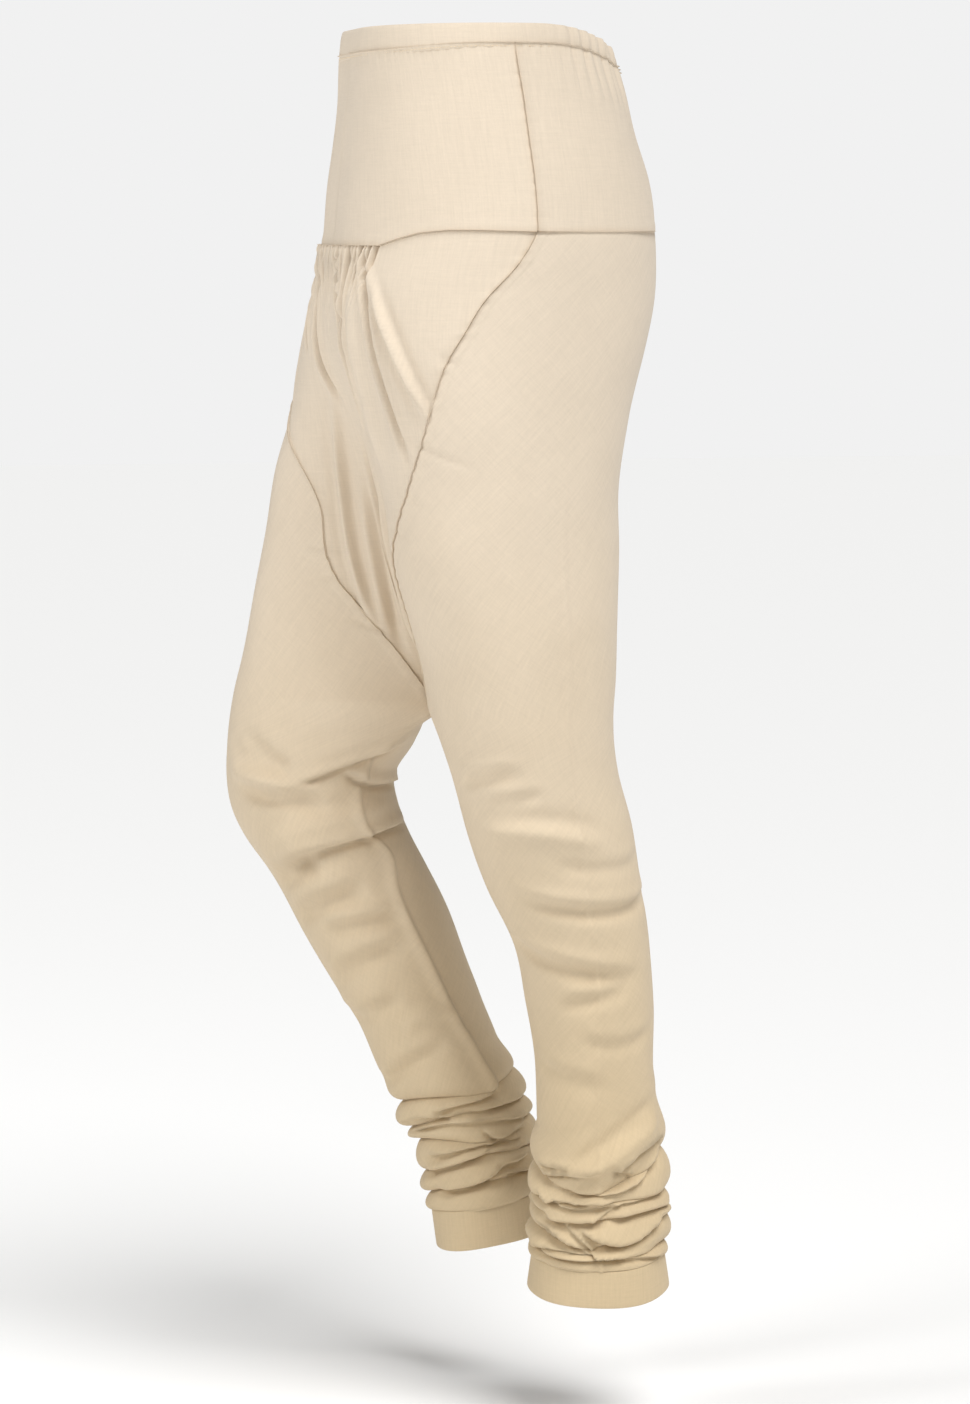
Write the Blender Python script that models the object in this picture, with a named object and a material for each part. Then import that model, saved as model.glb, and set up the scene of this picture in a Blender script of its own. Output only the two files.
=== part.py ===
"""Churidar trousers in plain cream cotton, standing hollow as they are worn.

Metres, +Z up, front toward -Y, the left leg at +X. The origin is the centre of the
waist opening. The right leg steps forward and the left leg stands behind it. Every
piece is a closed wall of cloth, and neighbours are a seam gap apart.
"""

import functools
import math

import bpy
import numpy as np

# Walls and gaps
WALL = 0.0012
CASING_WALL = 0.0020
CUFF_WALL = 0.0016
SEAM_GAP = 0.0003

# Heights in this file count down from a level this far above the waist edge.
WAIST_DROP = 0.008

# Heights of the main lines
YOKE_SEAM_Z = -0.156
YOKE_FRONT_DIP = 0.010
CROTCH_Z = -0.506
CROTCH_SOFTEN = 0.030
CROTCH_TIP = 0.007
CASING_HEIGHT = 0.018
CASING_FRONT_EXTRA = 0.004
CASING_BACK_DROP = 0.021

# Grid counts
RING_COLUMNS = 30
ROLL_ROWS = 2
LEG_ROW_STEP = 0.026
YOKE_ROWS = 5
CASING_PLAIN_COLUMNS = 9
BODY_ROWS = 13
BODY_ROW_CROWDING = 0.10
CASING_ROWS = 3
CUFF_ROWS = 2

# Gathers at the front of the gusset and puckers of the elastic at the back
GATHERS_PER_SIDE = 16
GATHER_SHARE = 0.225
GATHER_HEIGHT = 0.0040
GATHER_LENGTH = 0.090
GATHER_END = 0.10
LONG_FOLDS_PER_SIDE = 4
LONG_FOLD_HEIGHT = 0.0042
LONG_FOLD_START = 0.035
LONG_FOLD_LENGTH = 0.200
NARROWEST_SHARE = 0.02
PUCKERS_PER_SIDE = 14
PUCKER_HEIGHT = 0.0030
PUCKERED_FROM = 0.56
PUCKER_EASE = 0.06

LEFT = 1
RIGHT = -1


def table(columns, rows):
    """A short table with named columns, sorted so that z rises."""
    ordered = np.array(sorted(rows), float)
    return dict(zip(columns.split(), ordered.T))


# Each half of the body and the leg under it: the middle of the thigh, and its half
# sizes from side to side and from front to back. x is measured outward.
HALVES = {
    LEFT: table(
        "z x y half_x half_y rise dip",
        [
            (0.010, 0.030, -0.0030, 0.108, 0.0850, 0, 0),
            (0.000, 0.030, -0.0025, 0.109, 0.0880, 0, 0),
            (-0.030, 0.030, -0.0005, 0.114, 0.0937, 0, 0),
            (-0.060, 0.030, 0.0035, 0.120, 0.0992, 0, 0),
            (-0.090, 0.030, 0.0062, 0.127, 0.1054, 0, 0),
            (-0.120, 0.032, 0.0089, 0.131, 0.1114, 0, 0),
            (-0.160, 0.036, 0.0095, 0.134, 0.1154, 0, 0),
            (-0.200, 0.048, 0.0055, 0.124, 0.1160, 0, 0),
            (-0.240, 0.062, 0.0020, 0.110, 0.1100, 0, 0),
            (-0.290, 0.074, 0.0010, 0.097, 0.0960, 0, 0),
            (-0.340, 0.082, 0.0020, 0.086, 0.0860, 0, 0),
            (-0.390, 0.087, 0.0043, 0.077, 0.0828, 0, 0),
            (-0.440, 0.089, 0.0113, 0.072, 0.0757, 0, 0),
            (-0.480, 0.089, 0.0160, 0.069, 0.0690, 0, 0),
            (-0.506, 0.089, 0.0180, 0.067, 0.0650, 0, 0),
            (-0.549, 0.087, 0.0260, 0.063, 0.0613, 0, 0),
            (-0.593, 0.085, 0.0376, 0.060, 0.0617, 0, 0),
            (-0.637, 0.083, 0.0497, 0.056, 0.0572, 0, 0),
            (-0.682, 0.081, 0.0637, 0.052, 0.0495, 0, 0),
            (-0.727, 0.078, 0.0712, 0.048, 0.0475, 0, 0.05),
            (-0.772, 0.075, 0.0745, 0.044, 0.0440, 0, 0.10),
            (-0.800, 0.073, 0.0770, 0.043, 0.0440, 0, 0.14),
            (-0.860, 0.070, 0.0802, 0.043, 0.0470, 0, 0.14),
            (-0.915, 0.067, 0.0805, 0.045, 0.0503, 0.02, 0.14),
            (-0.960, 0.065, 0.0810, 0.048, 0.0560, 0.02, 0.14),
        ],
    ),
    RIGHT: table(
        "z x y half_x half_y rise dip",
        [
            (0.010, 0.030, -0.0030, 0.108, 0.0850, 0, 0),
            (0.000, 0.030, -0.0025, 0.109, 0.0880, 0, 0),
            (-0.030, 0.030, -0.0005, 0.114, 0.0937, 0, 0),
            (-0.060, 0.030, 0.0035, 0.120, 0.0992, 0, 0),
            (-0.090, 0.030, 0.0062, 0.127, 0.1054, 0, 0),
            (-0.120, 0.032, 0.0089, 0.131, 0.1114, 0, 0),
            (-0.160, 0.036, 0.0095, 0.134, 0.1154, 0, 0),
            (-0.200, 0.048, 0.0045, 0.124, 0.1160, 0, 0),
            (-0.240, 0.062, -0.0042, 0.110, 0.1135, 0, 0),
            (-0.290, 0.074, -0.0143, 0.096, 0.1100, 0, 0),
            (-0.340, 0.082, -0.0290, 0.086, 0.1075, 0, 0),
            (-0.390, 0.087, -0.0425, 0.079, 0.1025, 0, 0),
            (-0.440, 0.089, -0.0595, 0.074, 0.0945, 0, 0),
            (-0.480, 0.089, -0.0785, 0.071, 0.0835, 0, 0),
            (-0.506, 0.089, -0.0935, 0.070, 0.0745, 0, 0),
            (-0.545, 0.087, -0.1031, 0.066, 0.0711, 0, 0),
            (-0.568, 0.086, -0.1105, 0.064, 0.0645, 0, 0),
            (-0.591, 0.085, -0.1072, 0.062, 0.0640, 0, 0),
            (-0.615, 0.084, -0.0971, 0.060, 0.0630, 0, 0),
            (-0.638, 0.083, -0.0835, 0.058, 0.0595, 0.04, 0),
            (-0.685, 0.080, -0.0595, 0.054, 0.0565, 0.12, 0),
            (-0.731, 0.077, -0.0380, 0.050, 0.0500, 0.18, 0),
            (-0.778, 0.073, -0.0157, 0.046, 0.0443, 0.20, 0),
            (-0.825, 0.069, 0.0070, 0.043, 0.0435, 0.20, 0),
            (-0.873, 0.065, 0.0195, 0.042, 0.0420, 0.20, 0),
            (-0.904, 0.063, 0.0241, 0.042, 0.0425, 0.19, 0),
            (-0.950, 0.061, 0.0275, 0.042, 0.0425, 0.19, 0),
        ],
    ),
}

# The line where the halves meet at the front and back. Soft is 1 where the cloth runs
# straight across from thigh to thigh, and 0 where it turns down between them.
VALLEY = table(
    "z front_y back_y soft",
    [
        (0.010, -0.0880, 0.0820, 1),
        (0.000, -0.0905, 0.0855, 1),
        (-0.030, -0.0942, 0.0932, 1),
        (-0.060, -0.0957, 0.1027, 1),
        (-0.090, -0.0992, 0.1116, 1),
        (-0.120, -0.1025, 0.1203, 1),
        (-0.160, -0.1059, 0.1249, 1),
        (-0.200, -0.1120, 0.1215, 1),
        (-0.240, -0.1090, 0.1140, 1),
        (-0.290, -0.0940, 0.1020, 1),
        (-0.340, -0.0800, 0.0870, 1),
        (-0.390, -0.0690, 0.0690, 0.9),
        (-0.440, -0.0540, 0.0430, 0.7),
        (-0.480, -0.0400, 0.0050, 0.4),
        (-0.498, -0.0335, -0.0160, 0.15),
        (-0.506, -0.0290, -0.0290, 0),
    ],
)

# How much of the front dip the yoke seam keeps, by share of the half section.
YOKE_EDGE = table(
    "share dip",
    [
        (0.00, 1.00),
        (0.225, 1.00),
        (0.265, 0.55),
        (0.31, 0.10),
        (0.36, -0.10),
        (0.41, -0.10),
        (0.50, 0.00),
        (1.00, 0.00),
    ],
)
YOKE_FRONT_STOPS = (0, 0.045, 0.09, 0.135, 0.18, 0.225, 0.265, 0.31, 0.36, 0.41, 0.455, 0.5)
YOKE_BACK_STOPS = (0.5, 0.55, 0.6, 0.65, 0.7, 0.75, 0.8, 0.85, 0.9, 0.95, 1.0)

# Where the gusset meets each leg, as a share of the half section from the front
# valley (0) past the side (0.5) to the back valley (1).
GUSSET_SEAM = {
    LEFT: table(
        "z share",
        [
            (-0.156, 0.500),
            (-0.180, 0.472),
            (-0.206, 0.428),
            (-0.229, 0.402),
            (-0.248, 0.378),
            (-0.278, 0.351),
            (-0.306, 0.326),
            (-0.341, 0.283),
            (-0.379, 0.225),
            (-0.402, 0.180),
            (-0.440, 0.115),
            (-0.475, 0.055),
            (-0.506, 0.000),
        ],
    ),
    RIGHT: table(
        "z share",
        [
            (-0.156, 0.500),
            (-0.180, 0.465),
            (-0.206, 0.400),
            (-0.249, 0.295),
            (-0.290, 0.205),
            (-0.330, 0.135),
            (-0.360, 0.108),
            (-0.397, 0.108),
            (-0.416, 0.098),
            (-0.436, 0.070),
            (-0.458, 0.042),
            (-0.480, 0.020),
            (-0.506, 0.000),
        ],
    ),
}

# The creases between the rolls of spare length pushed up at each ankle. Lean lifts a
# crease toward the back, sag drops it at the outer side, sway waves it twice round.
# Roll is how far the cloth below the crease stands out, tuck how deep the crease is.
CREASES = {
    LEFT: table(
        "z lean sag sway turn roll tuck",
        [
            (-0.800, 0.012, 0.000, 0.0045, 0.5, 0.0065, 0.0010),
            (-0.8240, 0.014, 0.002, 0.0030, 1.2, 0.0075, 0.0035),
            (-0.8435, 0.008, 0.004, 0.0045, 2.4, 0.0070, 0.0040),
            (-0.8600, 0.000, 0.004, 0.0040, 0.2, 0.0070, 0.0040),
            (-0.8730, -0.003, 0.003, 0.0045, 1.4, 0.0065, 0.0035),
            (-0.8890, 0.004, 0.003, 0.0040, 2.9, 0.0065, 0.0040),
            (-0.9035, -0.001, 0.001, 0.0020, 0.9, 0.0050, 0.0035),
            (-0.9140, 0.000, 0.000, 0.0000, 0.0, 0.0000, 0.0000),
        ],
    ),
    RIGHT: table(
        "z lean sag sway turn roll tuck",
        [
            (-0.780, 0.006, 0.000, 0.0030, 0.5, 0.0050, 0.0010),
            (-0.8100, 0.004, 0.002, 0.0035, 2.2, 0.0065, 0.0035),
            (-0.8270, 0.003, 0.003, 0.0030, 1.0, 0.0065, 0.0040),
            (-0.8440, 0.001, 0.003, 0.0035, 2.9, 0.0065, 0.0035),
            (-0.8615, 0.002, 0.002, 0.0035, 0.4, 0.0065, 0.0040),
            (-0.8790, 0.004, 0.002, 0.0030, 1.7, 0.0055, 0.0035),
            (-0.8960, 0.000, 0.000, 0.0000, 0.0, 0.0000, 0.0000),
        ],
    ),
}
ROLL_DROOP = 0.0035
ROLL_FULLNESS = 0.62
ROLL_UNEVENNESS = 0.18
CREASE_FADE = 0.03

# The stretch behind each knee where the rows of a leg stand closer
KNEE = {LEFT: (-0.58, -0.66), RIGHT: (-0.540, -0.610)}
KNEE_ROW_STEP = {LEFT: 0.026, RIGHT: 0.0095}

# The larger folds across the knees and calves. Turn is the middle of the fold, in
# degrees from the outer side toward the back, and out is negative for a trough.
FOLDS = {
    LEFT: table(
        "z turn span width slope out",
        [
            (-0.560, 10, 60, 0.016, 0.004, -0.0022),
            (-0.606, -5, 65, 0.016, 0.008, 0.0026),
            (-0.655, 25, 70, 0.017, 0.012, -0.0026),
            (-0.700, -10, 65, 0.017, -0.010, -0.0024),
            (-0.735, 20, 50, 0.016, 0.008, 0.0020),
        ],
    ),
    RIGHT: table(
        "z turn span width slope out",
        [
            (-0.552, 120, 70, 0.010, 0.010, 0.0060),
            (-0.574, 120, 75, 0.009, 0.012, -0.0060),
            (-0.592, 115, 60, 0.009, 0.006, 0.0035),
            (-0.640, 165, 75, 0.011, 0.016, -0.0034),
            (-0.684, 190, 60, 0.011, 0.014, -0.0030),
            (-0.735, 150, 60, 0.012, 0.010, 0.0024),
        ],
    ),
}

CUFFS = {LEFT: (-0.9143, -0.9420), RIGHT: (-0.8963, -0.9270)}

SHARP_ANGLE = 55

# The skin of each half is worked out once on a fine grid. Slopes are taken over a
# height and a number of its columns.
LEVELS = 420
SHARES = 161
ARC_POINTS = 48
WEB_POINTS = 28
SLOPE_HEIGHT = 0.0025
SLOPE_COLUMNS = 1.5

# Ends of the cubics between the halves, as multiples of their width: a quarter of an
# ellipse where the cloth turns down, and a flatter curve where it runs straight on.
QUARTER = 1.657
SOFT_QUARTER = 1.25


def smooth(x):
    """0 below 0, 1 above 1, and an even ease between."""
    x = np.clip(x, 0.0, 1.0)
    return x * x * (3 - 2 * x)


def read(rows, name, z):
    """A column of a table at z, on a smooth curve through its rows."""
    xs, ys = rows["z"], rows[name]
    z = np.clip(z, xs[0], xs[-1])
    slopes = np.gradient(ys, xs)
    i = np.clip(np.searchsorted(xs, z) - 1, 0, len(xs) - 2)
    step = xs[i + 1] - xs[i]
    t = (z - xs[i]) / step
    start = (1 + 2 * t) * (1 - t) ** 2 * ys[i] + t * (1 - t) ** 2 * step * slopes[i]
    end = t * t * (3 - 2 * t) * ys[i + 1] + t * t * (t - 1) * step * slopes[i + 1]
    return start + end


def bend(start, leave, end, arrive, count):
    """Points on one cubic from start to end with the given directions at its ends."""
    t = np.linspace(0, 1, count)[:, None]
    return (
        (1 + 2 * t) * (1 - t) ** 2 * start
        + t * (1 - t) ** 2 * leave
        + t * t * (3 - 2 * t) * end
        + t * t * (t - 1) * arrive
    )


def neighbours(station, share):
    """Shares just ahead and behind, which run on round the ring below the crotch."""
    step = SLOPE_COLUMNS / (SHARES - 1)
    ring = station <= CROTCH_Z
    ahead = np.where(ring, (share + step) % 1.0, np.minimum(share + step, 1))
    behind = np.where(ring, (share - step) % 1.0, np.maximum(share - step, 0))
    return ahead, behind


def thigh(side, z):
    """Middle, half sizes, foremost and rearmost point of one half at a height."""
    rows = HALVES[side]
    middle = np.array([side * read(rows, "x", z), read(rows, "y", z)])
    half = np.array([read(rows, "half_x", z), read(rows, "half_y", z)])
    return middle, half, middle - [0, half[1]], middle + [0, half[1]]


def meeting(side, z):
    """Where this half starts at the front and ends at the back, and how softly."""
    gap = side * SEAM_GAP / 2
    if z >= CROTCH_Z:
        front = np.array([gap, read(VALLEY, "front_y", z)])
        back = np.array([gap, read(VALLEY, "back_y", z)])
        return front, back, read(VALLEY, "soft", z)
    middle, half, _, _ = thigh(side, z)
    inner = middle - [side * half[0], 0]
    crotch = np.array([gap, VALLEY["front_y"][0]])
    tip = inner + (crotch - inner) * math.exp(-(((CROTCH_Z - z) / CROTCH_SOFTEN) ** 2))
    return tip, tip, 0.0


def half_section(side, z):
    """One half section at a height, as points evenly spaced from front to back."""
    middle, half, foremost, rearmost = thigh(side, z)
    _, _, other_foremost, other_rearmost = thigh(-side, z)
    front, back, soft = meeting(side, z)
    width = abs(foremost[0] - front[0])
    reach = (QUARTER + (SOFT_QUARTER - QUARTER) * soft) * width
    outward = np.array([side * reach, 0.0])

    across_front = foremost - other_foremost
    across_front = across_front / np.linalg.norm(across_front) * np.linalg.norm(foremost - front)
    across_back = rearmost - other_rearmost
    across_back = across_back / np.linalg.norm(across_back) * np.linalg.norm(rearmost - back)
    turn_front = np.array([0.0, -QUARTER * (front[1] - foremost[1])])
    turn_back = np.array([0.0, QUARTER * (rearmost[1] - back[1])])
    leave = soft * across_front + (1 - soft) * turn_front
    arrive = -(soft * across_back + (1 - soft) * turn_back)

    angle = np.linspace(-math.pi / 2, math.pi / 2, ARC_POINTS)[:, None]
    outer = middle + np.hstack([side * half[0] * np.cos(angle), half[1] * np.sin(angle)])
    front_web = bend(front, leave, foremost, outward, WEB_POINTS)
    back_web = bend(rearmost, -outward, back, arrive, WEB_POINTS)
    line = np.vstack([front_web[:-1], outer, back_web[1:]])
    run = np.concatenate([[0], np.cumsum(np.linalg.norm(np.diff(line, axis=0), axis=1))])
    even = np.linspace(0, run[-1], SHARES)
    return np.stack([np.interp(even, run, line[:, k]) for k in (0, 1)], axis=1), run[-1]


class Skin:
    """The smooth outside of one half, read at any height and share."""

    def __init__(self, side):
        self.side = side
        self.levels = np.linspace(HALVES[side]["z"][0], HALVES[side]["z"][-1], LEVELS)
        sections = [half_section(side, z) for z in self.levels]
        self.grid = np.array([points for points, _ in sections])
        self.around = np.array([length for _, length in sections])

    def plan(self, z, share):
        """x and y at each height and share."""
        row = np.clip((z - self.levels[0]) / (self.levels[1] - self.levels[0]), 0, LEVELS - 1.001)
        column = np.clip(share * (SHARES - 1), 0, SHARES - 1.001)
        i, j = row.astype(int), column.astype(int)
        a, b = (row - i)[..., None], (column - j)[..., None]
        low = self.grid[i, j] * (1 - b) + self.grid[i, j + 1] * b
        high = self.grid[i + 1, j] * (1 - b) + self.grid[i + 1, j + 1] * b
        return low * (1 - a) + high * a

    def length(self, z):
        """The length round this half at each height."""
        return np.interp(z, self.levels, self.around)

    def turn(self, z, share):
        """The angle round the leg, from the outer side toward the back."""
        rows = HALVES[self.side]
        spot = self.plan(z, share)
        across = (self.side * spot[..., 0] - read(rows, "x", z)) / read(rows, "half_x", z)
        along = (spot[..., 1] - read(rows, "y", z)) / read(rows, "half_y", z)
        return np.arctan2(along, across)

    def outside(self, station, share, relief=None):
        """Points on the outside, with the folds of the leg and any relief added."""
        spot = self.plan(station, share)
        ahead, behind = neighbours(station, share)
        along = self.plan(station, ahead) - self.plan(station, behind)
        out = np.stack([along[..., 1], -along[..., 0]], axis=-1) * self.side
        out /= np.maximum(np.linalg.norm(out, axis=-1, keepdims=True), 1e-9)

        turn = self.turn(station, share)
        push, lift = folds(self.side, station, turn)
        if relief is not None:
            push = push + relief(station, share)
        spot = spot + out * push[..., None]
        rows = HALVES[self.side]
        tilt = read(rows, "rise", station) * (spot[..., 1] - read(rows, "y", station))
        tilt -= read(rows, "dip", station) * (self.side * spot[..., 0] - read(rows, "x", station))
        height = station + tilt + lift + WAIST_DROP
        return np.concatenate([spot, height[..., None]], axis=-1)


def crease_lift(side, station, turn):
    """How far each height is moved up or down, so that rows follow the creases."""
    rows = CREASES[side]
    columns = ("lean", "sag", "sway", "turn")
    parts = [np.interp(station, rows["z"], rows[name], left=0, right=0) for name in columns]
    lean, sag, sway, phase = parts
    fade = smooth((rows["z"][-1] + CREASE_FADE - station) / CREASE_FADE)
    waves = lean * np.sin(turn) - sag * np.cos(turn) + sway * np.cos(2 * turn - phase)
    return waves * fade


def rolls(side, station, turn):
    """How far the rolls at the ankle stand out."""
    rows = CREASES[side]
    heights = rows["z"]
    i = np.clip(np.searchsorted(heights, station) - 1, 0, len(heights) - 2)
    t = np.clip((station - heights[i]) / (heights[i + 1] - heights[i]), 0, 1)
    uneven = 1 - ROLL_UNEVENNESS * (1 - np.cos(turn * 2 + 2.4 * i))
    bump = np.power(np.clip(4 * t * (1 - t), 0, 1), ROLL_FULLNESS)
    floor = -((1 - t) * rows["tuck"][i] + t * rows["tuck"][i + 1])
    inside = (station >= heights[0]) & (station <= heights[-1])
    push = np.where(inside, floor + bump * (rows["roll"][i + 1] * uneven - floor), 0)
    return push, np.where(inside, -ROLL_DROOP * bump * uneven, 0)


def folds(side, station, turn):
    """All the folds of one leg: outward push and lift."""
    push, droop = rolls(side, station, turn)
    lift = droop + crease_lift(side, station, turn)
    columns = ("z", "turn", "span", "width", "slope", "out")
    for z, middle, span, width, slope, out in zip(*(FOLDS[side][name] for name in columns)):
        away = (turn - math.radians(middle) + math.pi) % (2 * math.pi) - math.pi
        taper = smooth(1 - np.abs(away) / math.radians(span))
        push = push + out * taper * np.exp(-(((station - z - slope * away) / width) ** 2))
    return push, lift


def normals(skin, station, share):
    """Outward directions of the outside, from its own slopes."""
    above = skin.outside(station + SLOPE_HEIGHT, share)
    below = skin.outside(station - SLOPE_HEIGHT, share)
    ahead, behind = neighbours(station, share)
    along = skin.outside(station, ahead) - skin.outside(station, behind)
    out = np.cross(along, above - below) * skin.side
    return out / np.maximum(np.linalg.norm(out, axis=-1, keepdims=True), 1e-12)


def material(name, colour, roughness):
    """One cotton finish."""
    made = bpy.data.materials.new(name)
    made.use_nodes = True
    shader = made.node_tree.nodes["Principled BSDF"]
    shader.inputs["Base Color"].default_value = (*colour, 1)
    shader.inputs["Roughness"].default_value = roughness
    shader.inputs["Metallic"].default_value = 0
    return made


def add_wall(name, outer, inner, clockwise, finish, joined_from=None, closed=False):
    """One closed wall from two grids of points, rows by columns.

    Clockwise says which way the columns run, seen from above. Rows from joined_from
    on close round, so their last column is their first. A closed grid closes round
    in every row.
    """
    rows, columns = outer.shape[:2]
    first_joined = 0 if closed else (rows if joined_from is None else joined_from)
    last = columns - 1

    def at(layer, i, j):
        if j == last and i >= first_joined:
            j = 0
        return (layer * rows + i) * columns + j

    faces = []
    for i in range(rows - 1):
        for j in range(last):
            quad = [(i, j), (i, j + 1), (i + 1, j + 1), (i + 1, j)]
            faces.append([at(0, *p) for p in quad])
            faces.append([at(1, *p) for p in reversed(quad)])
    for j in range(last):
        for i, order in ((0, 1), (rows - 1, -1)):
            rim = [at(0, i, j), at(1, i, j), at(1, i, j + 1), at(0, i, j + 1)]
            faces.append(rim[::order])
    for i in range(rows - 1):
        if i >= first_joined:
            break
        for j, order in ((0, -1), (last, 1)):
            a, b, c, d = at(0, i, j), at(1, i, j), at(1, i + 1, j), at(0, i + 1, j)
            for rim in ([a, b, c], [a, c, d]):
                faces.append(rim[::order])
    if not clockwise:
        faces = [face[::-1] for face in faces]
    faces = [list(dict.fromkeys(face)) for face in faces]
    points = np.concatenate([outer.reshape(-1, 3), inner.reshape(-1, 3)])
    used = sorted({k for face in faces for k in face})
    place = {k: n for n, k in enumerate(used)}
    mesh = bpy.data.meshes.new(name)
    mesh.from_pydata(points[used].tolist(), [], [[place[k] for k in face] for face in faces])
    mesh.materials.append(finish)
    mesh.shade_smooth()
    mesh.set_sharp_from_angle(angle=math.radians(SHARP_ANGLE))
    made = bpy.data.objects.new(name, mesh)
    bpy.context.collection.objects.link(made)
    return made


def yoke_edge(share):
    """Height of the seam under the yoke. It dips across the gathered front."""
    return YOKE_SEAM_Z - YOKE_FRONT_DIP * np.interp(share, YOKE_EDGE["share"], YOKE_EDGE["dip"])


def casing_top(share):
    """Height of the waist edge, level but for a drop at the back."""
    return -WAIST_DROP - CASING_BACK_DROP * smooth((share - 0.55) / 0.4)


def casing_bottom(share):
    """Height of the stitching under the waist casing."""
    deeper = CASING_FRONT_EXTRA * (1 - smooth((share - 0.15) / 0.3))
    return casing_top(share) - CASING_HEIGHT - deeper


def between(top, bottom, down):
    """Heights between two edge lines, rows by columns, from the top down."""
    down = np.asarray(down)[:, None]
    return np.asarray(top) * (1 - down) + np.asarray(bottom) * down


def joined(layers, meet):
    """The left and right grids of one layer, with their meeting column made one."""
    left, right = layers
    middle = (left[:, meet] + right[:, meet]) / 2
    left[:, meet] = middle
    right[:, meet] = middle
    if meet == 0:
        return np.concatenate([right[:, :0:-1], left], axis=1)
    return np.concatenate([left, right[:, -2::-1]], axis=1)


def wall_grids(skin, station, share, thickness, relief=None, level_rows=(0, -1)):
    """Outside and inside points. Relief raises the outside over a plain inside.

    The edges in level_rows are cut square, so that the piece beyond fits against them.
    """
    outer = skin.outside(station, share, relief)
    plain = skin.outside(station, share)
    inner = plain - normals(skin, station, share) * thickness
    square = skin.outside(station, share, lambda z, _: np.full(z.shape, -thickness))
    for row in level_rows:
        inner[row] = square[row]
    return outer, inner


def puckers(station, share):
    """Relief of the casing where its elastic draws up the back."""
    wave = np.sin((share - PUCKERED_FROM) / (1 - PUCKERED_FROM) * PUCKERS_PER_SIDE * math.pi) ** 2
    return PUCKER_HEIGHT * wave * smooth((share - PUCKERED_FROM) / PUCKER_EASE)


def make_casing(skins, finish):
    """The waist casing: elastic in a turned edge, puckered round the back half."""
    plain = np.linspace(0, PUCKERED_FROM, CASING_PLAIN_COLUMNS + 1)
    gathered = np.linspace(PUCKERED_FROM, 1, 2 * PUCKERS_PER_SIDE + 1)[1:]
    share = np.concatenate([plain, gathered])
    bottom = casing_bottom(share) + SEAM_GAP / 2
    station = between(casing_top(share), bottom, np.linspace(0, 1, CASING_ROWS))
    around = np.broadcast_to(share, station.shape)
    pairs = [wall_grids(skins[side], station, around, CASING_WALL, puckers) for side in (LEFT, RIGHT)]
    layers = [joined(layer, 0) for layer in zip(*pairs)]
    for layer in layers:
        layer[:, 0] = layer[:, -1] = (layer[:, 0] + layer[:, -1]) / 2
    add_wall("waistband", *layers, False, finish, closed=True)


def make_yoke(name, skins, stops, finish):
    """Half of the yoke, front or back, between the two side seams."""
    at_front = stops[0] == 0
    pairs = []
    for side in (LEFT, RIGHT):
        inset = SEAM_GAP / 2 / skins[side].length(YOKE_SEAM_Z)
        share = np.array(stops, float)
        if at_front:
            share[-1] -= inset
        else:
            share[0] += inset
        top = casing_bottom(share) - SEAM_GAP / 2
        bottom = yoke_edge(share) + SEAM_GAP / 2
        station = between(top, bottom, np.linspace(0, 1, YOKE_ROWS))
        pairs.append(wall_grids(skins[side], station, np.broadcast_to(share, station.shape), WALL))
    layers = [joined(layer, 0 if at_front else -1) for layer in zip(*pairs)]
    add_wall(name, *layers, False, finish)


def body_rows():
    """Rows from the yoke seam to the crotch, closer together at both ends."""
    even = np.linspace(0, 1, BODY_ROWS)
    return even - BODY_ROW_CROWDING * np.sin(2 * math.pi * even)


def gathers(side, station, share):
    """Relief of the front gathers: short ones at the seam, a few long folds below."""
    seam = read(GUSSET_SEAM[side], "share", station)
    spread = share / np.maximum(seam, NARROWEST_SHARE) * 0.5 / GATHER_SHARE
    below = YOKE_SEAM_Z - YOKE_FRONT_DIP - station
    keep = smooth((1 + GATHER_END / 2 - spread) / GATHER_END)
    number = spread * GATHERS_PER_SIDE
    each = np.floor(number + 0.5)
    uneven = 0.75 + 0.25 * np.sin(2.1 * each + 0.7)
    reach = GATHER_LENGTH * (0.55 + 0.45 * np.sin(1.7 * each) ** 2)
    short = (0.5 - 0.5 * np.cos(2 * math.pi * number)) * uneven * (1 - smooth(below / reach))
    wide = 0.5 - 0.5 * np.cos(2 * math.pi * spread * LONG_FOLDS_PER_SIDE)
    swell = smooth(below / LONG_FOLD_START)
    swell *= 1 - smooth((below - LONG_FOLD_START) / (LONG_FOLD_LENGTH - LONG_FOLD_START))
    return keep * (GATHER_HEIGHT * short + LONG_FOLD_HEIGHT * wide * swell)


def make_gusset(skins, finish):
    """The front gusset: gathered into the yoke, narrowing down to the crotch."""
    gathered = np.linspace(0, GATHER_SHARE, 2 * GATHERS_PER_SIDE + 1)
    plain = [stop for stop in YOKE_FRONT_STOPS if stop > GATHER_SHARE]
    at_yoke = np.concatenate([gathered, plain])
    top = yoke_edge(at_yoke) - SEAM_GAP / 2
    station = between(top, np.full(top.shape, CROTCH_Z + CROTCH_TIP), body_rows())
    pairs = []
    for side in (LEFT, RIGHT):
        seam = read(GUSSET_SEAM[side], "share", station[:, -1:])
        share = 2 * at_yoke * (seam - SEAM_GAP / 2 / skins[side].length(station))
        relief = functools.partial(gathers, side)
        pairs.append(wall_grids(skins[side], station, share, WALL, relief))
    layers = [joined(layer, 0) for layer in zip(*pairs)]
    add_wall("gusset_front", *layers, False, finish)


def own_side(side, points):
    """Keeps a leg on its own side of the seam between the legs."""
    points[..., 0] = side * np.maximum(side * points[..., 0], SEAM_GAP / 2)
    return points


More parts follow.
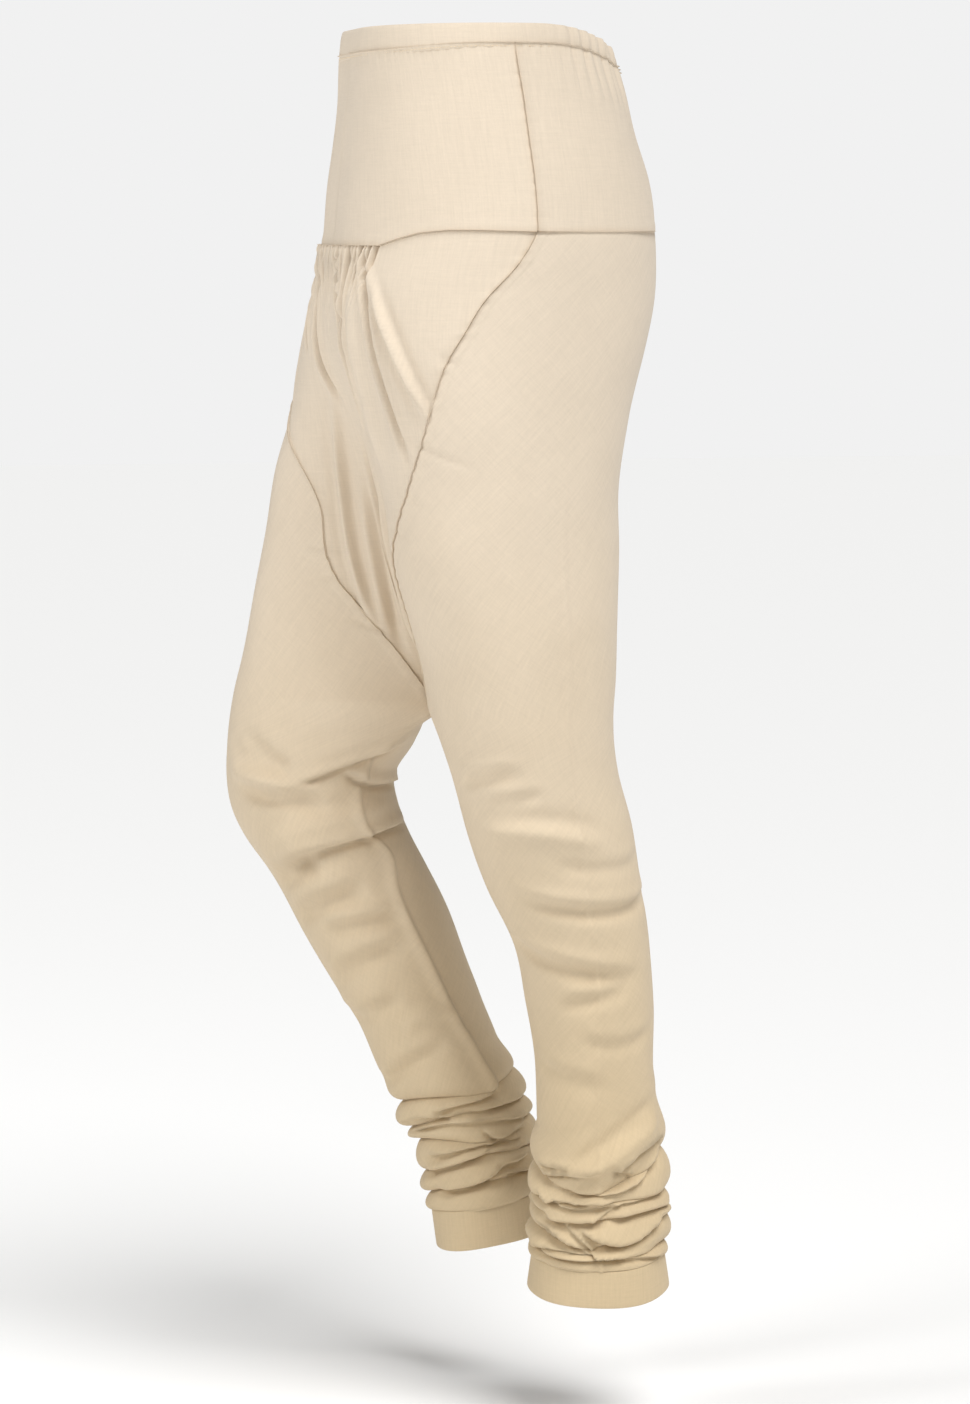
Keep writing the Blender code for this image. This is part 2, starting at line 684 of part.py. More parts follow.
def leg_stations(side):
    """Heights of a leg's rows, from the crotch down to the cuff."""
    creases = CREASES[side]["z"][::-1]
    stops = [CROTCH_Z, *KNEE[side], creases[0]]
    steps = (LEG_ROW_STEP, KNEE_ROW_STEP[side], LEG_ROW_STEP)
    lower = [CROTCH_Z]
    for top, bottom, step in zip(stops[:-1], stops[1:], steps):
        lower += list(np.linspace(top, bottom, max(1, round((top - bottom) / step)) + 1)[1:])
    stack = []
    for top, bottom in zip(creases[:-1], creases[1:]):
        stack += list(np.linspace(top, bottom, ROLL_ROWS + 2)[1:])
    return np.concatenate([lower, stack])


def make_leg(name, skin, finish):
    """One leg: open above the crotch, between the gusset and the back seam."""
    side = skin.side
    lower = leg_stations(side)
    across = np.linspace(0, 1, RING_COLUMNS + 1)
    top = yoke_edge(0.5 + 0.5 * across) - SEAM_GAP / 2
    station = between(top, np.full(top.shape, CROTCH_Z + CROTCH_TIP), body_rows())
    inset = SEAM_GAP / 2 / skin.length(station)
    seam = read(GUSSET_SEAM[side], "share", station[:, :1]) + inset
    share = seam + (1 - seam) * across[None, :]
    outer_top, inner_top = wall_grids(skin, station, share, WALL, level_rows=(0,))
    station = np.repeat(lower[:, None], RING_COLUMNS + 1, axis=1)
    share = np.broadcast_to(across, station.shape)
    outer_low, inner_low = wall_grids(skin, station, share, WALL, level_rows=(-1,))
    outer = own_side(side, np.concatenate([outer_top, outer_low]))
    inner = own_side(side, np.concatenate([inner_top, inner_low]))
    add_wall(name, outer, inner, side == RIGHT, finish, joined_from=BODY_ROWS)


def make_cuff(name, skin, finish):
    """The plain cuff at the ankle, a turned band."""
    top, bottom = CUFFS[skin.side]
    stations = np.linspace(top, bottom, CUFF_ROWS + 1)
    across = np.linspace(0, 1, RING_COLUMNS + 1)
    station = np.repeat(stations[:, None], RING_COLUMNS + 1, axis=1)
    share = np.broadcast_to(across, station.shape)
    outer, inner = wall_grids(skin, station, share, CUFF_WALL)
    add_wall(name, outer, inner, skin.side == RIGHT, finish, closed=True)


def main():
    for old in list(bpy.data.objects):
        bpy.data.objects.remove(old)
    upper = material("cream cotton", (0.80, 0.67, 0.49), 0.9)
    lower = material("cream cotton, lower", (0.72, 0.58, 0.40), 0.9)
    skins = {side: Skin(side) for side in (LEFT, RIGHT)}
    make_casing(skins, upper)
    make_yoke("yoke_front", skins, YOKE_FRONT_STOPS, upper)
    make_yoke("yoke_back", skins, YOKE_BACK_STOPS, upper)
    make_gusset(skins, upper)
    for side, word in ((LEFT, "left"), (RIGHT, "right")):
        make_leg("leg_" + word, skins[side], upper)
        make_cuff("cuff_" + word, skins[side], lower)


main()
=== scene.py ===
"""Churidar trousers in plain cream cotton: the finish of every piece, and the stage.

Metres, +Z up, front toward -Y, the left leg at +X, as in the frame. Every piece is a
thin shell of cloth on its solid's form, with the gathers, creases and ankle rolls of
the worn garment.
"""

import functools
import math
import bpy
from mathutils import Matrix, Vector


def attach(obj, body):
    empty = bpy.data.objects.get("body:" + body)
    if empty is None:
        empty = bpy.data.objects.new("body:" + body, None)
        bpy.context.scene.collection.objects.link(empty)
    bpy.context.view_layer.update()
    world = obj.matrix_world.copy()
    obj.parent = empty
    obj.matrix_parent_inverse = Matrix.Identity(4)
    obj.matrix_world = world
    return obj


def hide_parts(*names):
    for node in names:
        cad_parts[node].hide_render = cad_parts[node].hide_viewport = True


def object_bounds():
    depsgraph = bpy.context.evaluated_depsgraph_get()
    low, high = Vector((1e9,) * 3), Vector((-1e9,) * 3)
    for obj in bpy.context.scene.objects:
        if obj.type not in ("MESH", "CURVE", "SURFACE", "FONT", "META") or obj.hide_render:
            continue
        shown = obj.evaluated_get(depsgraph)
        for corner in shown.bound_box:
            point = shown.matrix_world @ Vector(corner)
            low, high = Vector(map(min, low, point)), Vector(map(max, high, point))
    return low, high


bl_info = {
    "name": "Churidar Trousers",
    "version": (1, 0, 0),
    "blender": (4, 5, 0),
    "location": "View3D > Sidebar > Churidar",
    "description": "Makes a pair of cream cotton churidar trousers, hollow as worn",
    "category": "Object",
}

import bpy
import numpy as np
from mathutils import Matrix, Vector

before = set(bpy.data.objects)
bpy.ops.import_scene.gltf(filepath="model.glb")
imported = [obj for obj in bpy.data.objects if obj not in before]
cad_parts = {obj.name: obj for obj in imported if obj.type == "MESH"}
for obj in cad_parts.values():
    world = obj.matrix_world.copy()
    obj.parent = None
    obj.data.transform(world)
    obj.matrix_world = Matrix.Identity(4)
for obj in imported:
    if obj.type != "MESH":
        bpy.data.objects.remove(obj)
CAD_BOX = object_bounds()

# Walls and gaps of the solids
SEAM_GAP = 0.0003

# Half the gap that shows between two pieces sewn together
NEAR = 0.00003

# Heights in this file count down from a level this far above the waist edge.
WAIST_DROP = 0.008

# Heights of the main lines
YOKE_SEAM_Z = -0.156
YOKE_FRONT_DIP = 0.010
CROTCH_Z = -0.506
CROTCH_SOFTEN = 0.030
CROTCH_TIP = 0.002
CASING_HEIGHT = 0.018
CASING_FRONT_EXTRA = 0.004
CASING_BACK_DROP = 0.021

LEFT = 1
RIGHT = -1
SIDES = {"left": LEFT, "right": RIGHT}


def table(columns, rows):
    """A short table with named columns, sorted so that its first column rises."""
    ordered = np.array(sorted(rows), float)
    return dict(zip(columns.split(), ordered.T))


# Each half of the body and the leg under it: the middle of the thigh, and its half
# sizes from side to side and from front to back. x is measured outward.
HALVES = {
    LEFT: table(
        "z x y half_x half_y rise dip",
        [
            (0.010, 0.030, -0.0030, 0.108, 0.0850, 0, 0),
            (0.000, 0.030, -0.0025, 0.109, 0.0880, 0, 0),
            (-0.030, 0.030, -0.0005, 0.114, 0.0937, 0, 0),
            (-0.060, 0.030, 0.0035, 0.120, 0.0992, 0, 0),
            (-0.090, 0.030, 0.0062, 0.127, 0.1054, 0, 0),
            (-0.120, 0.032, 0.0089, 0.131, 0.1114, 0, 0),
            (-0.160, 0.036, 0.0095, 0.134, 0.1154, 0, 0),
            (-0.200, 0.048, 0.0055, 0.124, 0.1160, 0, 0),
            (-0.240, 0.062, 0.0020, 0.110, 0.1100, 0, 0),
            (-0.290, 0.074, 0.0010, 0.097, 0.0960, 0, 0),
            (-0.340, 0.082, 0.0020, 0.086, 0.0860, 0, 0),
            (-0.390, 0.087, 0.0043, 0.077, 0.0828, 0, 0),
            (-0.440, 0.089, 0.0113, 0.072, 0.0757, 0, 0),
            (-0.480, 0.089, 0.0160, 0.069, 0.0690, 0, 0),
            (-0.506, 0.089, 0.0180, 0.067, 0.0650, 0, 0),
            (-0.549, 0.087, 0.0260, 0.063, 0.0613, 0, 0),
            (-0.593, 0.085, 0.0376, 0.060, 0.0617, 0, 0),
            (-0.637, 0.083, 0.0497, 0.056, 0.0572, 0, 0),
            (-0.682, 0.081, 0.0637, 0.052, 0.0495, 0, 0),
            (-0.727, 0.078, 0.0712, 0.048, 0.0475, 0, 0.05),
            (-0.772, 0.075, 0.0745, 0.044, 0.0440, 0, 0.10),
            (-0.800, 0.073, 0.0770, 0.043, 0.0440, 0, 0.14),
            (-0.860, 0.070, 0.0802, 0.043, 0.0470, 0, 0.14),
            (-0.915, 0.067, 0.0805, 0.045, 0.0503, 0.02, 0.14),
            (-0.960, 0.065, 0.0810, 0.048, 0.0560, 0.02, 0.14),
        ],
    ),
    RIGHT: table(
        "z x y half_x half_y rise dip",
        [
            (0.010, 0.030, -0.0030, 0.108, 0.0850, 0, 0),
            (0.000, 0.030, -0.0025, 0.109, 0.0880, 0, 0),
            (-0.030, 0.030, -0.0005, 0.114, 0.0937, 0, 0),
            (-0.060, 0.030, 0.0035, 0.120, 0.0992, 0, 0),
            (-0.090, 0.030, 0.0062, 0.127, 0.1054, 0, 0),
            (-0.120, 0.032, 0.0089, 0.131, 0.1114, 0, 0),
            (-0.160, 0.036, 0.0095, 0.134, 0.1154, 0, 0),
            (-0.200, 0.048, 0.0045, 0.124, 0.1160, 0, 0),
            (-0.240, 0.062, -0.0042, 0.110, 0.1135, 0, 0),
            (-0.290, 0.074, -0.0143, 0.096, 0.1100, 0, 0),
            (-0.340, 0.082, -0.0290, 0.086, 0.1075, 0, 0),
            (-0.390, 0.087, -0.0425, 0.079, 0.1025, 0, 0),
            (-0.440, 0.089, -0.0595, 0.074, 0.0945, 0, 0),
            (-0.480, 0.089, -0.0785, 0.071, 0.0835, 0, 0),
            (-0.506, 0.089, -0.0935, 0.070, 0.0745, 0, 0),
            (-0.545, 0.087, -0.1031, 0.066, 0.0711, 0, 0),
            (-0.568, 0.086, -0.1105, 0.064, 0.0645, 0, 0),
            (-0.591, 0.085, -0.1072, 0.062, 0.0640, 0, 0),
            (-0.615, 0.084, -0.0971, 0.060, 0.0630, 0, 0),
            (-0.638, 0.083, -0.0835, 0.058, 0.0595, 0.04, 0),
            (-0.685, 0.080, -0.0595, 0.054, 0.0565, 0.12, 0),
            (-0.731, 0.077, -0.0380, 0.050, 0.0500, 0.18, 0),
            (-0.778, 0.073, -0.0157, 0.046, 0.0443, 0.20, 0),
            (-0.825, 0.069, 0.0070, 0.043, 0.0435, 0.20, 0),
            (-0.873, 0.065, 0.0195, 0.042, 0.0420, 0.20, 0),
            (-0.904, 0.063, 0.0241, 0.042, 0.0425, 0.19, 0),
            (-0.950, 0.061, 0.0275, 0.042, 0.0425, 0.19, 0),
        ],
    ),
}

# The line where the halves meet at the front and back. Soft is 1 where the cloth runs
# straight across from thigh to thigh, and 0 where it turns down between them.
VALLEY = table(
    "z front_y back_y soft",
    [
        (0.010, -0.0880, 0.0820, 1),
        (0.000, -0.0905, 0.0855, 1),
        (-0.030, -0.0942, 0.0932, 1),
        (-0.060, -0.0957, 0.1027, 1),
        (-0.090, -0.0992, 0.1116, 1),
        (-0.120, -0.1025, 0.1203, 1),
        (-0.160, -0.1059, 0.1249, 1),
        (-0.200, -0.1120, 0.1215, 1),
        (-0.240, -0.1090, 0.1140, 1),
        (-0.290, -0.0940, 0.1020, 1),
        (-0.340, -0.0800, 0.0870, 1),
        (-0.390, -0.0690, 0.0690, 0.9),
        (-0.440, -0.0540, 0.0430, 0.7),
        (-0.480, -0.0400, 0.0050, 0.4),
        (-0.498, -0.0335, -0.0160, 0.15),
        (-0.506, -0.0290, -0.0290, 0),
    ],
)

# How much of the front dip the yoke seam keeps, by share of the half section.
YOKE_EDGE = table(
    "share dip",
    [
        (0.00, 1.00),
        (0.225, 1.00),
        (0.265, 0.55),
        (0.31, 0.10),
        (0.36, -0.10),
        (0.41, -0.10),
        (0.50, 0.00),
        (1.00, 0.00),
    ],
)

# Where the gusset meets each leg, as a share of the half section from the front
# valley (0) past the side (0.5) to the back valley (1).
GUSSET_SEAM = {
    LEFT: table(
        "z share",
        [
            (-0.156, 0.500),
            (-0.180, 0.472),
            (-0.206, 0.428),
            (-0.229, 0.402),
            (-0.248, 0.378),
            (-0.278, 0.351),
            (-0.306, 0.326),
            (-0.341, 0.283),
            (-0.379, 0.225),
            (-0.402, 0.180),
            (-0.440, 0.115),
            (-0.475, 0.055),
            (-0.506, 0.000),
        ],
    ),
    RIGHT: table(
        "z share",
        [
            (-0.156, 0.500),
            (-0.180, 0.465),
            (-0.206, 0.400),
            (-0.249, 0.295),
            (-0.290, 0.205),
            (-0.330, 0.135),
            (-0.360, 0.108),
            (-0.397, 0.108),
            (-0.416, 0.098),
            (-0.436, 0.070),
            (-0.458, 0.042),
            (-0.480, 0.020),
            (-0.506, 0.000),
        ],
    ),
}

# The creases between the rolls of spare length pushed up at each ankle. Lean lifts a
# crease toward the back, sag drops it at the outer side, sway waves it twice round.
# Roll is how far the cloth below the crease stands out, tuck how deep the crease is.
CREASES = {
    LEFT: table(
        "z lean sag sway turn roll tuck",
        [
            (-0.797, 0.013, 0.001, 0.0040, 0.8, 0.0072, 0.0000),
            (-0.8435, 0.008, 0.004, 0.0045, 2.4, 0.0070, 0.0040),
            (-0.8600, 0.000, 0.004, 0.0040, 0.2, 0.0070, 0.0040),
            (-0.8730, -0.003, 0.003, 0.0045, 1.4, 0.0065, 0.0035),
            (-0.8890, 0.004, 0.003, 0.0040, 2.9, 0.0065, 0.0040),
            (-0.9035, -0.001, 0.001, 0.0020, 0.9, 0.0050, 0.0035),
            (-0.9140, 0.000, 0.000, 0.0000, 0.0, 0.0000, 0.0000),
        ],
    ),
    RIGHT: table(
        "z lean sag sway turn roll tuck",
        [
            (-0.780, 0.006, 0.000, 0.0030, 0.5, 0.0050, 0.0000),
            (-0.8100, 0.004, 0.002, 0.0035, 2.2, 0.0065, 0.0035),
            (-0.8270, 0.003, 0.003, 0.0030, 1.0, 0.0065, 0.0040),
            (-0.8440, 0.001, 0.003, 0.0035, 2.9, 0.0065, 0.0035),
            (-0.8615, 0.002, 0.002, 0.0035, 0.4, 0.0065, 0.0040),
            (-0.8790, 0.004, 0.002, 0.0030, 1.7, 0.0055, 0.0035),
            (-0.8960, 0.000, 0.000, 0.0000, 0.0, 0.0000, 0.0000),
        ],
    ),
}
ROLL_DROOP = 0.0035
ROLL_FULLNESS = 0.62
ROLL_UNEVENNESS = 0.18
ROLL_BROKEN = 0.50

# Share of the topmost roll, from its foot, at which it stands out most
TOP_ROLL_CREST = 0.35
CREASE_FADE = 0.03

# Creases that run across a leg. Turn is the angle round the leg in degrees, from the
# outer side toward the back, and out is negative for a trough.
ACROSS = {
    LEFT: table(
        "turn_from turn_to z_from z_middle z_to width out",
        [
            (-78, -18, -0.557, -0.550, -0.544, 0.0055, -0.0020),
            (-55, -5, -0.568, -0.565, -0.559, 0.0045, -0.0012),
            (-75, 40, -0.593, -0.590, -0.603, 0.0075, 0.0022),
            (-20, 75, -0.611, -0.618, -0.612, 0.0060, -0.0012),
            (-62, 90, -0.637, -0.650, -0.640, 0.0060, -0.0028),
            (-100, 48, -0.667, -0.693, -0.698, 0.0065, -0.0028),
            (-48, 34, -0.719, -0.714, -0.705, 0.0055, -0.0018),
            (-30, 60, -0.742, -0.748, -0.738, 0.0060, -0.0012),
            (-85, 5, -0.765, -0.772, -0.778, 0.0065, -0.0013),
            (-50, 66, -0.8335, -0.8215, -0.8160, 0.0058, 0.0034),
            (105, 200, -0.556, -0.549, -0.560, 0.0060, -0.0022),
            (95, 230, -0.604, -0.612, -0.600, 0.0070, -0.0026),
            (120, 260, -0.655, -0.664, -0.650, 0.0065, -0.0024),
            (100, 215, -0.706, -0.700, -0.712, 0.0060, -0.0020),
            (150, 255, -0.748, -0.757, -0.744, 0.0060, -0.0015),
        ],
    ),
    RIGHT: table(
        "turn_from turn_to z_from z_middle z_to width out",
        [
            (112, 205, -0.535, -0.540, -0.553, 0.0080, 0.0010),
            (176, 250, -0.583, -0.581, -0.574, 0.0075, -0.0034),
            (196, 262, -0.572, -0.566, -0.557, 0.0070, 0.0026),
            (200, 246, -0.562, -0.548, -0.534, 0.0075, -0.0016),
            (200, 262, -0.626, -0.634, -0.646, 0.0085, -0.0036),
            (120, 240, -0.588, -0.599, -0.620, 0.0080, 0.0020),
            (176, 266, -0.648, -0.660, -0.673, 0.0070, -0.0036),
            (160, 236, -0.671, -0.676, -0.679, 0.0055, -0.0026),
            (165, 262, -0.694, -0.703, -0.720, 0.0065, -0.0028),
            (190, 280, -0.731, -0.742, -0.745, 0.0065, -0.0022),
            (150, 215, -0.752, -0.748, -0.760, 0.0060, 0.0015),
            (170, 275, -0.772, -0.781, -0.790, 0.0055, -0.0018),
            (-70, 40, -0.560, -0.552, -0.565, 0.0070, -0.0018),
            (-60, 75, -0.610, -0.618, -0.606, 0.0070, -0.0024),
            (-40, 80, -0.668, -0.676, -0.660, 0.0065, -0.0022),
            (-75, 30, -0.728, -0.720, -0.734, 0.0060, -0.0018),
        ],
    ),
}

# Sharp tucks at the ankles and behind the right knee, where the cloth above hangs over
# the cloth below. Heights are at five even stops from one end of the tuck to the other.
TUCKS = {
    LEFT: table(
        "turn_from turn_to z_from z_next z_middle z_later z_to width out",
        [
            (-82, -36, -0.8328, -0.8300, -0.8278, -0.8266, -0.8262, 0.0020, -0.0034),
            (-82, -6, -0.8430, -0.8362, -0.8312, -0.8300, -0.8298, 0.0018, -0.0042),
            (-2, 70, -0.8345, -0.8318, -0.8300, -0.8304, -0.8345, 0.0020, -0.0052),
            (-2, 22, -0.8300, -0.8330, -0.8368, -0.8400, -0.8450, 0.0020, -0.0030),
            (-52, 70, -0.8452, -0.8466, -0.8508, -0.8470, -0.8375, 0.0022, -0.0056),
            (12, 64, -0.8545, -0.8522, -0.8500, -0.8468, -0.8430, 0.0018, -0.0026),
            (-76, -40, -0.8428, -0.8444, -0.8456, -0.8450, -0.8458, 0.0014, -0.0024),
            (-68, -30, -0.8605, -0.8572, -0.8548, -0.8552, -0.8602, 0.0015, -0.0030),
            (-80, 4, -0.8490, -0.8615, -0.8650, -0.8652, -0.8640, 0.0020, -0.0052),
            (-52, 78, -0.8585, -0.8620, -0.8640, -0.8626, -0.8610, 0.0020, -0.0050),
            (-22, 10, -0.8735, -0.8708, -0.8684, -0.8660, -0.8648, 0.0015, -0.0032),
            (-76, -4, -0.8785, -0.8762, -0.8747, -0.8740, -0.8736, 0.0018, -0.0046),
            (-6, 88, -0.8748, -0.8734, -0.8730, -0.8738, -0.8750, 0.0020, -0.0042),
            (-38, 64, -0.8760, -0.8846, -0.8903, -0.8866, -0.8830, 0.0022, -0.0056),
            (-72, -36, -0.8862, -0.8884, -0.8900, -0.8906, -0.8908, 0.0015, -0.0028),
            (-88, 14, -0.8822, -0.8836, -0.8892, -0.8960, -0.9062, 0.0018, -0.0046),
            (-68, -6, -0.8755, -0.8766, -0.8800, -0.8888, -0.9036, 0.0015, -0.0034),
            (-94, 12, -0.9045, -0.8976, -0.8950, -0.8968, -0.9046, 0.0016, -0.0034),
            (-80, 70, -0.9062, -0.9048, -0.9046, -0.9076, -0.9130, 0.0020, -0.0044),
            (100, 200, -0.8350, -0.8300, -0.8290, -0.8330, -0.8400, 0.0022, -0.0048),
            (130, 250, -0.8560, -0.8520, -0.8470, -0.8460, -0.8500, 0.0020, -0.0046),
            (95, 190, -0.8620, -0.8650, -0.8690, -0.8720, -0.8690, 0.0020, -0.0044),
            (165, 262, -0.8700, -0.8740, -0.8800, -0.8830, -0.8810, 0.0022, -0.0048),
            (110, 215, -0.8920, -0.8880, -0.8900, -0.8960, -0.9020, 0.0018, -0.0040),
            (200, 268, -0.9000, -0.8980, -0.8950, -0.8960, -0.9010, 0.0018, -0.0034),
        ],
    ),
    RIGHT: table(
        "turn_from turn_to z_from z_next z_middle z_later z_to width out",
        [
            (140, 226, -0.8120, -0.8158, -0.8176, -0.8198, -0.8232, 0.0026, -0.0064),
            (200, 270, -0.8300, -0.8272, -0.8232, -0.8218, -0.8230, 0.0016, -0.0036),
            (108, 274, -0.8440, -0.8352, -0.8332, -0.8328, -0.8316, 0.0020, -0.0050),
            (112, 192, -0.8262, -0.8256, -0.8270, -0.8284, -0.8286, 0.0016, -0.0036),
            (118, 184, -0.8490, -0.8472, -0.8456, -0.8440, -0.8376, 0.0020, -0.0050),
            (140, 256, -0.8480, -0.8478, -0.8500, -0.8538, -0.8542, 0.0022, -0.0056),
            (174, 262, -0.8560, -0.8612, -0.8634, -0.8636, -0.8630, 0.0022, -0.0056),
            (132, 184, -0.8530, -0.8514, -0.8500, -0.8502, -0.8512, 0.0018, -0.0044),
            (132, 178, -0.8672, -0.8670, -0.8671, -0.8675, -0.8686, 0.0018, -0.0040),
            (134, 250, -0.8694, -0.8704, -0.8786, -0.8812, -0.8802, 0.0024, -0.0060),
            (120, 168, -0.8802, -0.8788, -0.8774, -0.8764, -0.8762, 0.0018, -0.0040),
            (-70, 30, -0.8160, -0.8120, -0.8110, -0.8150, -0.8200, 0.0022, -0.0048),
            (-40, 75, -0.8330, -0.8290, -0.8270, -0.8300, -0.8360, 0.0020, -0.0046),
            (-80, 20, -0.8480, -0.8500, -0.8530, -0.8540, -0.8520, 0.0020, -0.0044),
            (-30, 85, -0.8560, -0.8610, -0.8650, -0.8640, -0.8600, 0.0022, -0.0050),
            (-75, 40, -0.8760, -0.8740, -0.8760, -0.8810, -0.8860, 0.0020, -0.0044),
            (138, 200, -0.5420, -0.5480, -0.5560, -0.5640, -0.5700, 0.0030, -0.0046),
            (98, 172, -0.5752, -0.5744, -0.5734, -0.5690, -0.5590, 0.0030, -0.0064),
            (92, 250, -0.6050, -0.6072, -0.6142, -0.6245, -0.6400, 0.0034, -0.0066),
        ],
    ),
}
TUCK_OVERHANG = 0.45
FOLD_STRENGTH = 2.0
DOWN_STRENGTH = 1.4
TUCK_STRENGTH = 1.15

# Folds that run down the gusset from the yoke seam. Shares are as in GUSSET_SEAM.
DOWN = {
    LEFT: table(
        "z_from z_to share_from share_middle share_to width out",
        [
            (-0.166, -0.310, 0.050, 0.110, 0.040, 0.0036, -0.0056),
            (-0.166, -0.250, 0.142, 0.128, 0.108, 0.0028, -0.0046),
            (-0.166, -0.335, 0.188, 0.238, 0.300, 0.0030, -0.0050),
            (-0.182, -0.300, 0.210, 0.285, 0.352, 0.0044, 0.0050),
            (-0.166, -0.265, 0.090, 0.092, 0.080, 0.0026, -0.0040),
            (-0.190, -0.340, 0.160, 0.180, 0.205, 0.0090, 0.0032),
            (-0.330, -0.485, 0.052, 0.046, 0.030, 0.0042, 0.0040),
            (-0.300, -0.480, 0.016, 0.014, 0.008, 0.0036, -0.0044),
        ],
    ),
    RIGHT: table(
        "z_from z_to share_from share_middle share_to width out",
        [
            (-0.166, -0.290, 0.050, 0.060, 0.015, 0.0036, -0.0050),
            (-0.166, -0.250, 0.120, 0.125, 0.100, 0.0030, -0.0044),
            (-0.166, -0.300, 0.180, 0.205, 0.190, 0.0036, -0.0048),
            (-0.166, -0.270, 0.205, 0.250, 0.262, 0.0075, 0.0034),
            (-0.270, -0.470, 0.040, 0.066, 0.048, 0.0045, 0.0036),
            (-0.330, -0.480, 0.010, 0.016, 0.026, 0.0045, -0.0040),
        ],
    ),
}

# Short stress creases that cross the gusset's seams, on the legs and the gusset
CROSSING = {
    LEFT: table(
        "z share length slope width out",
        [
            (-0.245, 0.371, 0.022, -0.55, 0.0026, -0.0011),
            (-0.314, 0.350, 0.040, -0.35, 0.0022, -0.0018),
            (-0.348, 0.292, 0.020, -0.60, 0.0026, -0.0011),
            (-0.374, 0.255, 0.030, -0.30, 0.0020, -0.0014),
        ],
    ),
    RIGHT: table(
        "z share length slope width out",
        [
            (-0.262, 0.265, 0.030, -0.40, 0.0020, -0.0016),
            (-0.397, 0.118, 0.030, 0.10, 0.0022, 0.0016),
            (-0.414, 0.105, 0.026, -0.20, 0.0020, -0.0016),
            (-0.450, 0.062, 0.024, 0.30, 0.0020, -0.0014),
        ],
    ),
}

# The seam down the inside of each leg, as a share of the section, below the crotch
INSEAM = {
    LEFT: table("z share", [(-0.800, 0.935), (-0.700, 0.955), (-0.600, 0.975), (-0.506, 1.0)]),
    RIGHT: table(
        "z share",
        [
            (-0.812, 0.912),
            (-0.770, 0.931),
            (-0.733, 0.940),
            (-0.654, 0.942),
            (-0.617, 0.914),
            (-0.599, 0.940),
            (-0.570, 0.925),
            (-0.540, 0.960),
            (-0.506, 1.0),
        ],
    ),
}
INSEAM_RIDGE = 0.0036

# The crease pressed down the outer side of the left leg
PRESSED_RIDGE = 0.0010
PRESSED_WIDTH = 0.0022
PRESSED_FROM = -0.30
PRESSED_EASE = 0.1
PRESSED = table("z turn", [(-0.930, -9), (-0.815, -11), (-0.700, -2), (-0.535, 15), (-0.346, 20)])

# Gathers, puckers and seam relief
GATHERS_PER_SIDE = 16
GATHER_SHARE = 0.225
GATHER_END = 0.10
GATHER_FADE = 0.075
GATHER_DEPTH = 0.0105
GATHER_DEEP_LENGTH = 0.023
GATHER_SOFT = 0.0030
GATHER_SHARPNESS = 1.1
GATHER_CREST = 0.25
GATHER_SOFT_CREST = 0.35
GATHER_AT_SEAM = 0.72
GATHER_SWELL = 0.004
# How the gathers differ from each other: a base, a swing, and the rate and shift of its wave
GATHER_SPACING = (0, 0.16, 5.1, 1.0)
GATHER_HEIGHTS = (1, 0.3, 2.1, 0.7)
GATHER_REACHES = (0.6, 0.9, 1.3, 0.2)
GATHER_FADES = (0.55, 0.45, 1.7, 0.4)
NARROWEST_SHARE = 0.02
PUCKERS_PER_SIDE = 14
PUCKER_HEIGHT = 0.0030
PUCKERED_FROM = 0.56
PUCKER_EASE = 0.06
SEAM_GROOVE = 0.0002
SEAM_GROOVE_WIDTH = 0.0007
FLAT_SEAM_Z = -0.440
FLAT_SEAM_FADE = 0.050
FLAT_SEAM_SHARE = 0.90
SEAM_PUCKER = 0.00030
SEAM_PUCKER_PITCH = 0.0085
SEAM_PUCKER_REACH = 0.0070
ALLOWANCE_WIDTH = 0.0085
ALLOWANCE_STEP = 0.00035

CUFFS = {LEFT: (-0.9143, -0.9420), RIGHT: (-0.8963, -0.9270)}
CUFF_WALL = 0.0016
CASING_WALL = 0.0020

# Grid counts of the shells
LEG_COLUMNS = 250
BODY_STEP = 0.0027
LOWER_STEP = 0.0026
ROLL_ROWS = 13
ROLL_STEP = 0.0018
GATHERED_COLUMNS = 192
PLAIN_COLUMNS = 70
YOKE_COLUMNS = 90
YOKE_ROWS = 46
EDGE_ROWS = 24
CASING_COLUMNS = 300

# The skin of each half is worked out once on a fine grid. Slopes are taken over a
# height and a number of its columns.
LEVELS = 560
SHARES = 721
ARC_POINTS = 220
WEB_POINTS = 120
SLOPE_COLUMNS = 3

# Ends of the cubics between the halves, as multiples of their width: a quarter of an
# ellipse where the cloth turns down, and a flatter curve where it runs straight on.
QUARTER = 1.657
SOFT_QUARTER = 1.25


def smooth(x):
    """0 below 0, 1 above 1, and an even ease between."""
    x = np.clip(x, 0.0, 1.0)
    return x * x * (3 - 2 * x)


def read(rows, name, z, key="z"):
    """A column of a table at z, on a smooth curve through its rows."""
    xs, ys = rows[key], rows[name]
    z = np.clip(z, xs[0], xs[-1])
    slopes = np.gradient(ys, xs)
    i = np.clip(np.searchsorted(xs, z) - 1, 0, len(xs) - 2)
    step = xs[i + 1] - xs[i]
    t = (z - xs[i]) / step
    start = (1 + 2 * t) * (1 - t) ** 2 * ys[i] + t * (1 - t) ** 2 * step * slopes[i]
    end = t * t * (3 - 2 * t) * ys[i + 1] + t * t * (t - 1) * step * slopes[i + 1]
    return start + end


def each(rows):
    """The rows of a table, one tuple each."""
    return zip(*rows.values())


def bend(start, leave, end, arrive, count):
    """Points on one cubic from start to end with the given directions at its ends."""
    t = np.linspace(0, 1, count)[:, None]
    return (
        (1 + 2 * t) * (1 - t) ** 2 * start
        + t * (1 - t) ** 2 * leave
        + t * t * (3 - 2 * t) * end
        + t * t * (t - 1) * arrive
    )


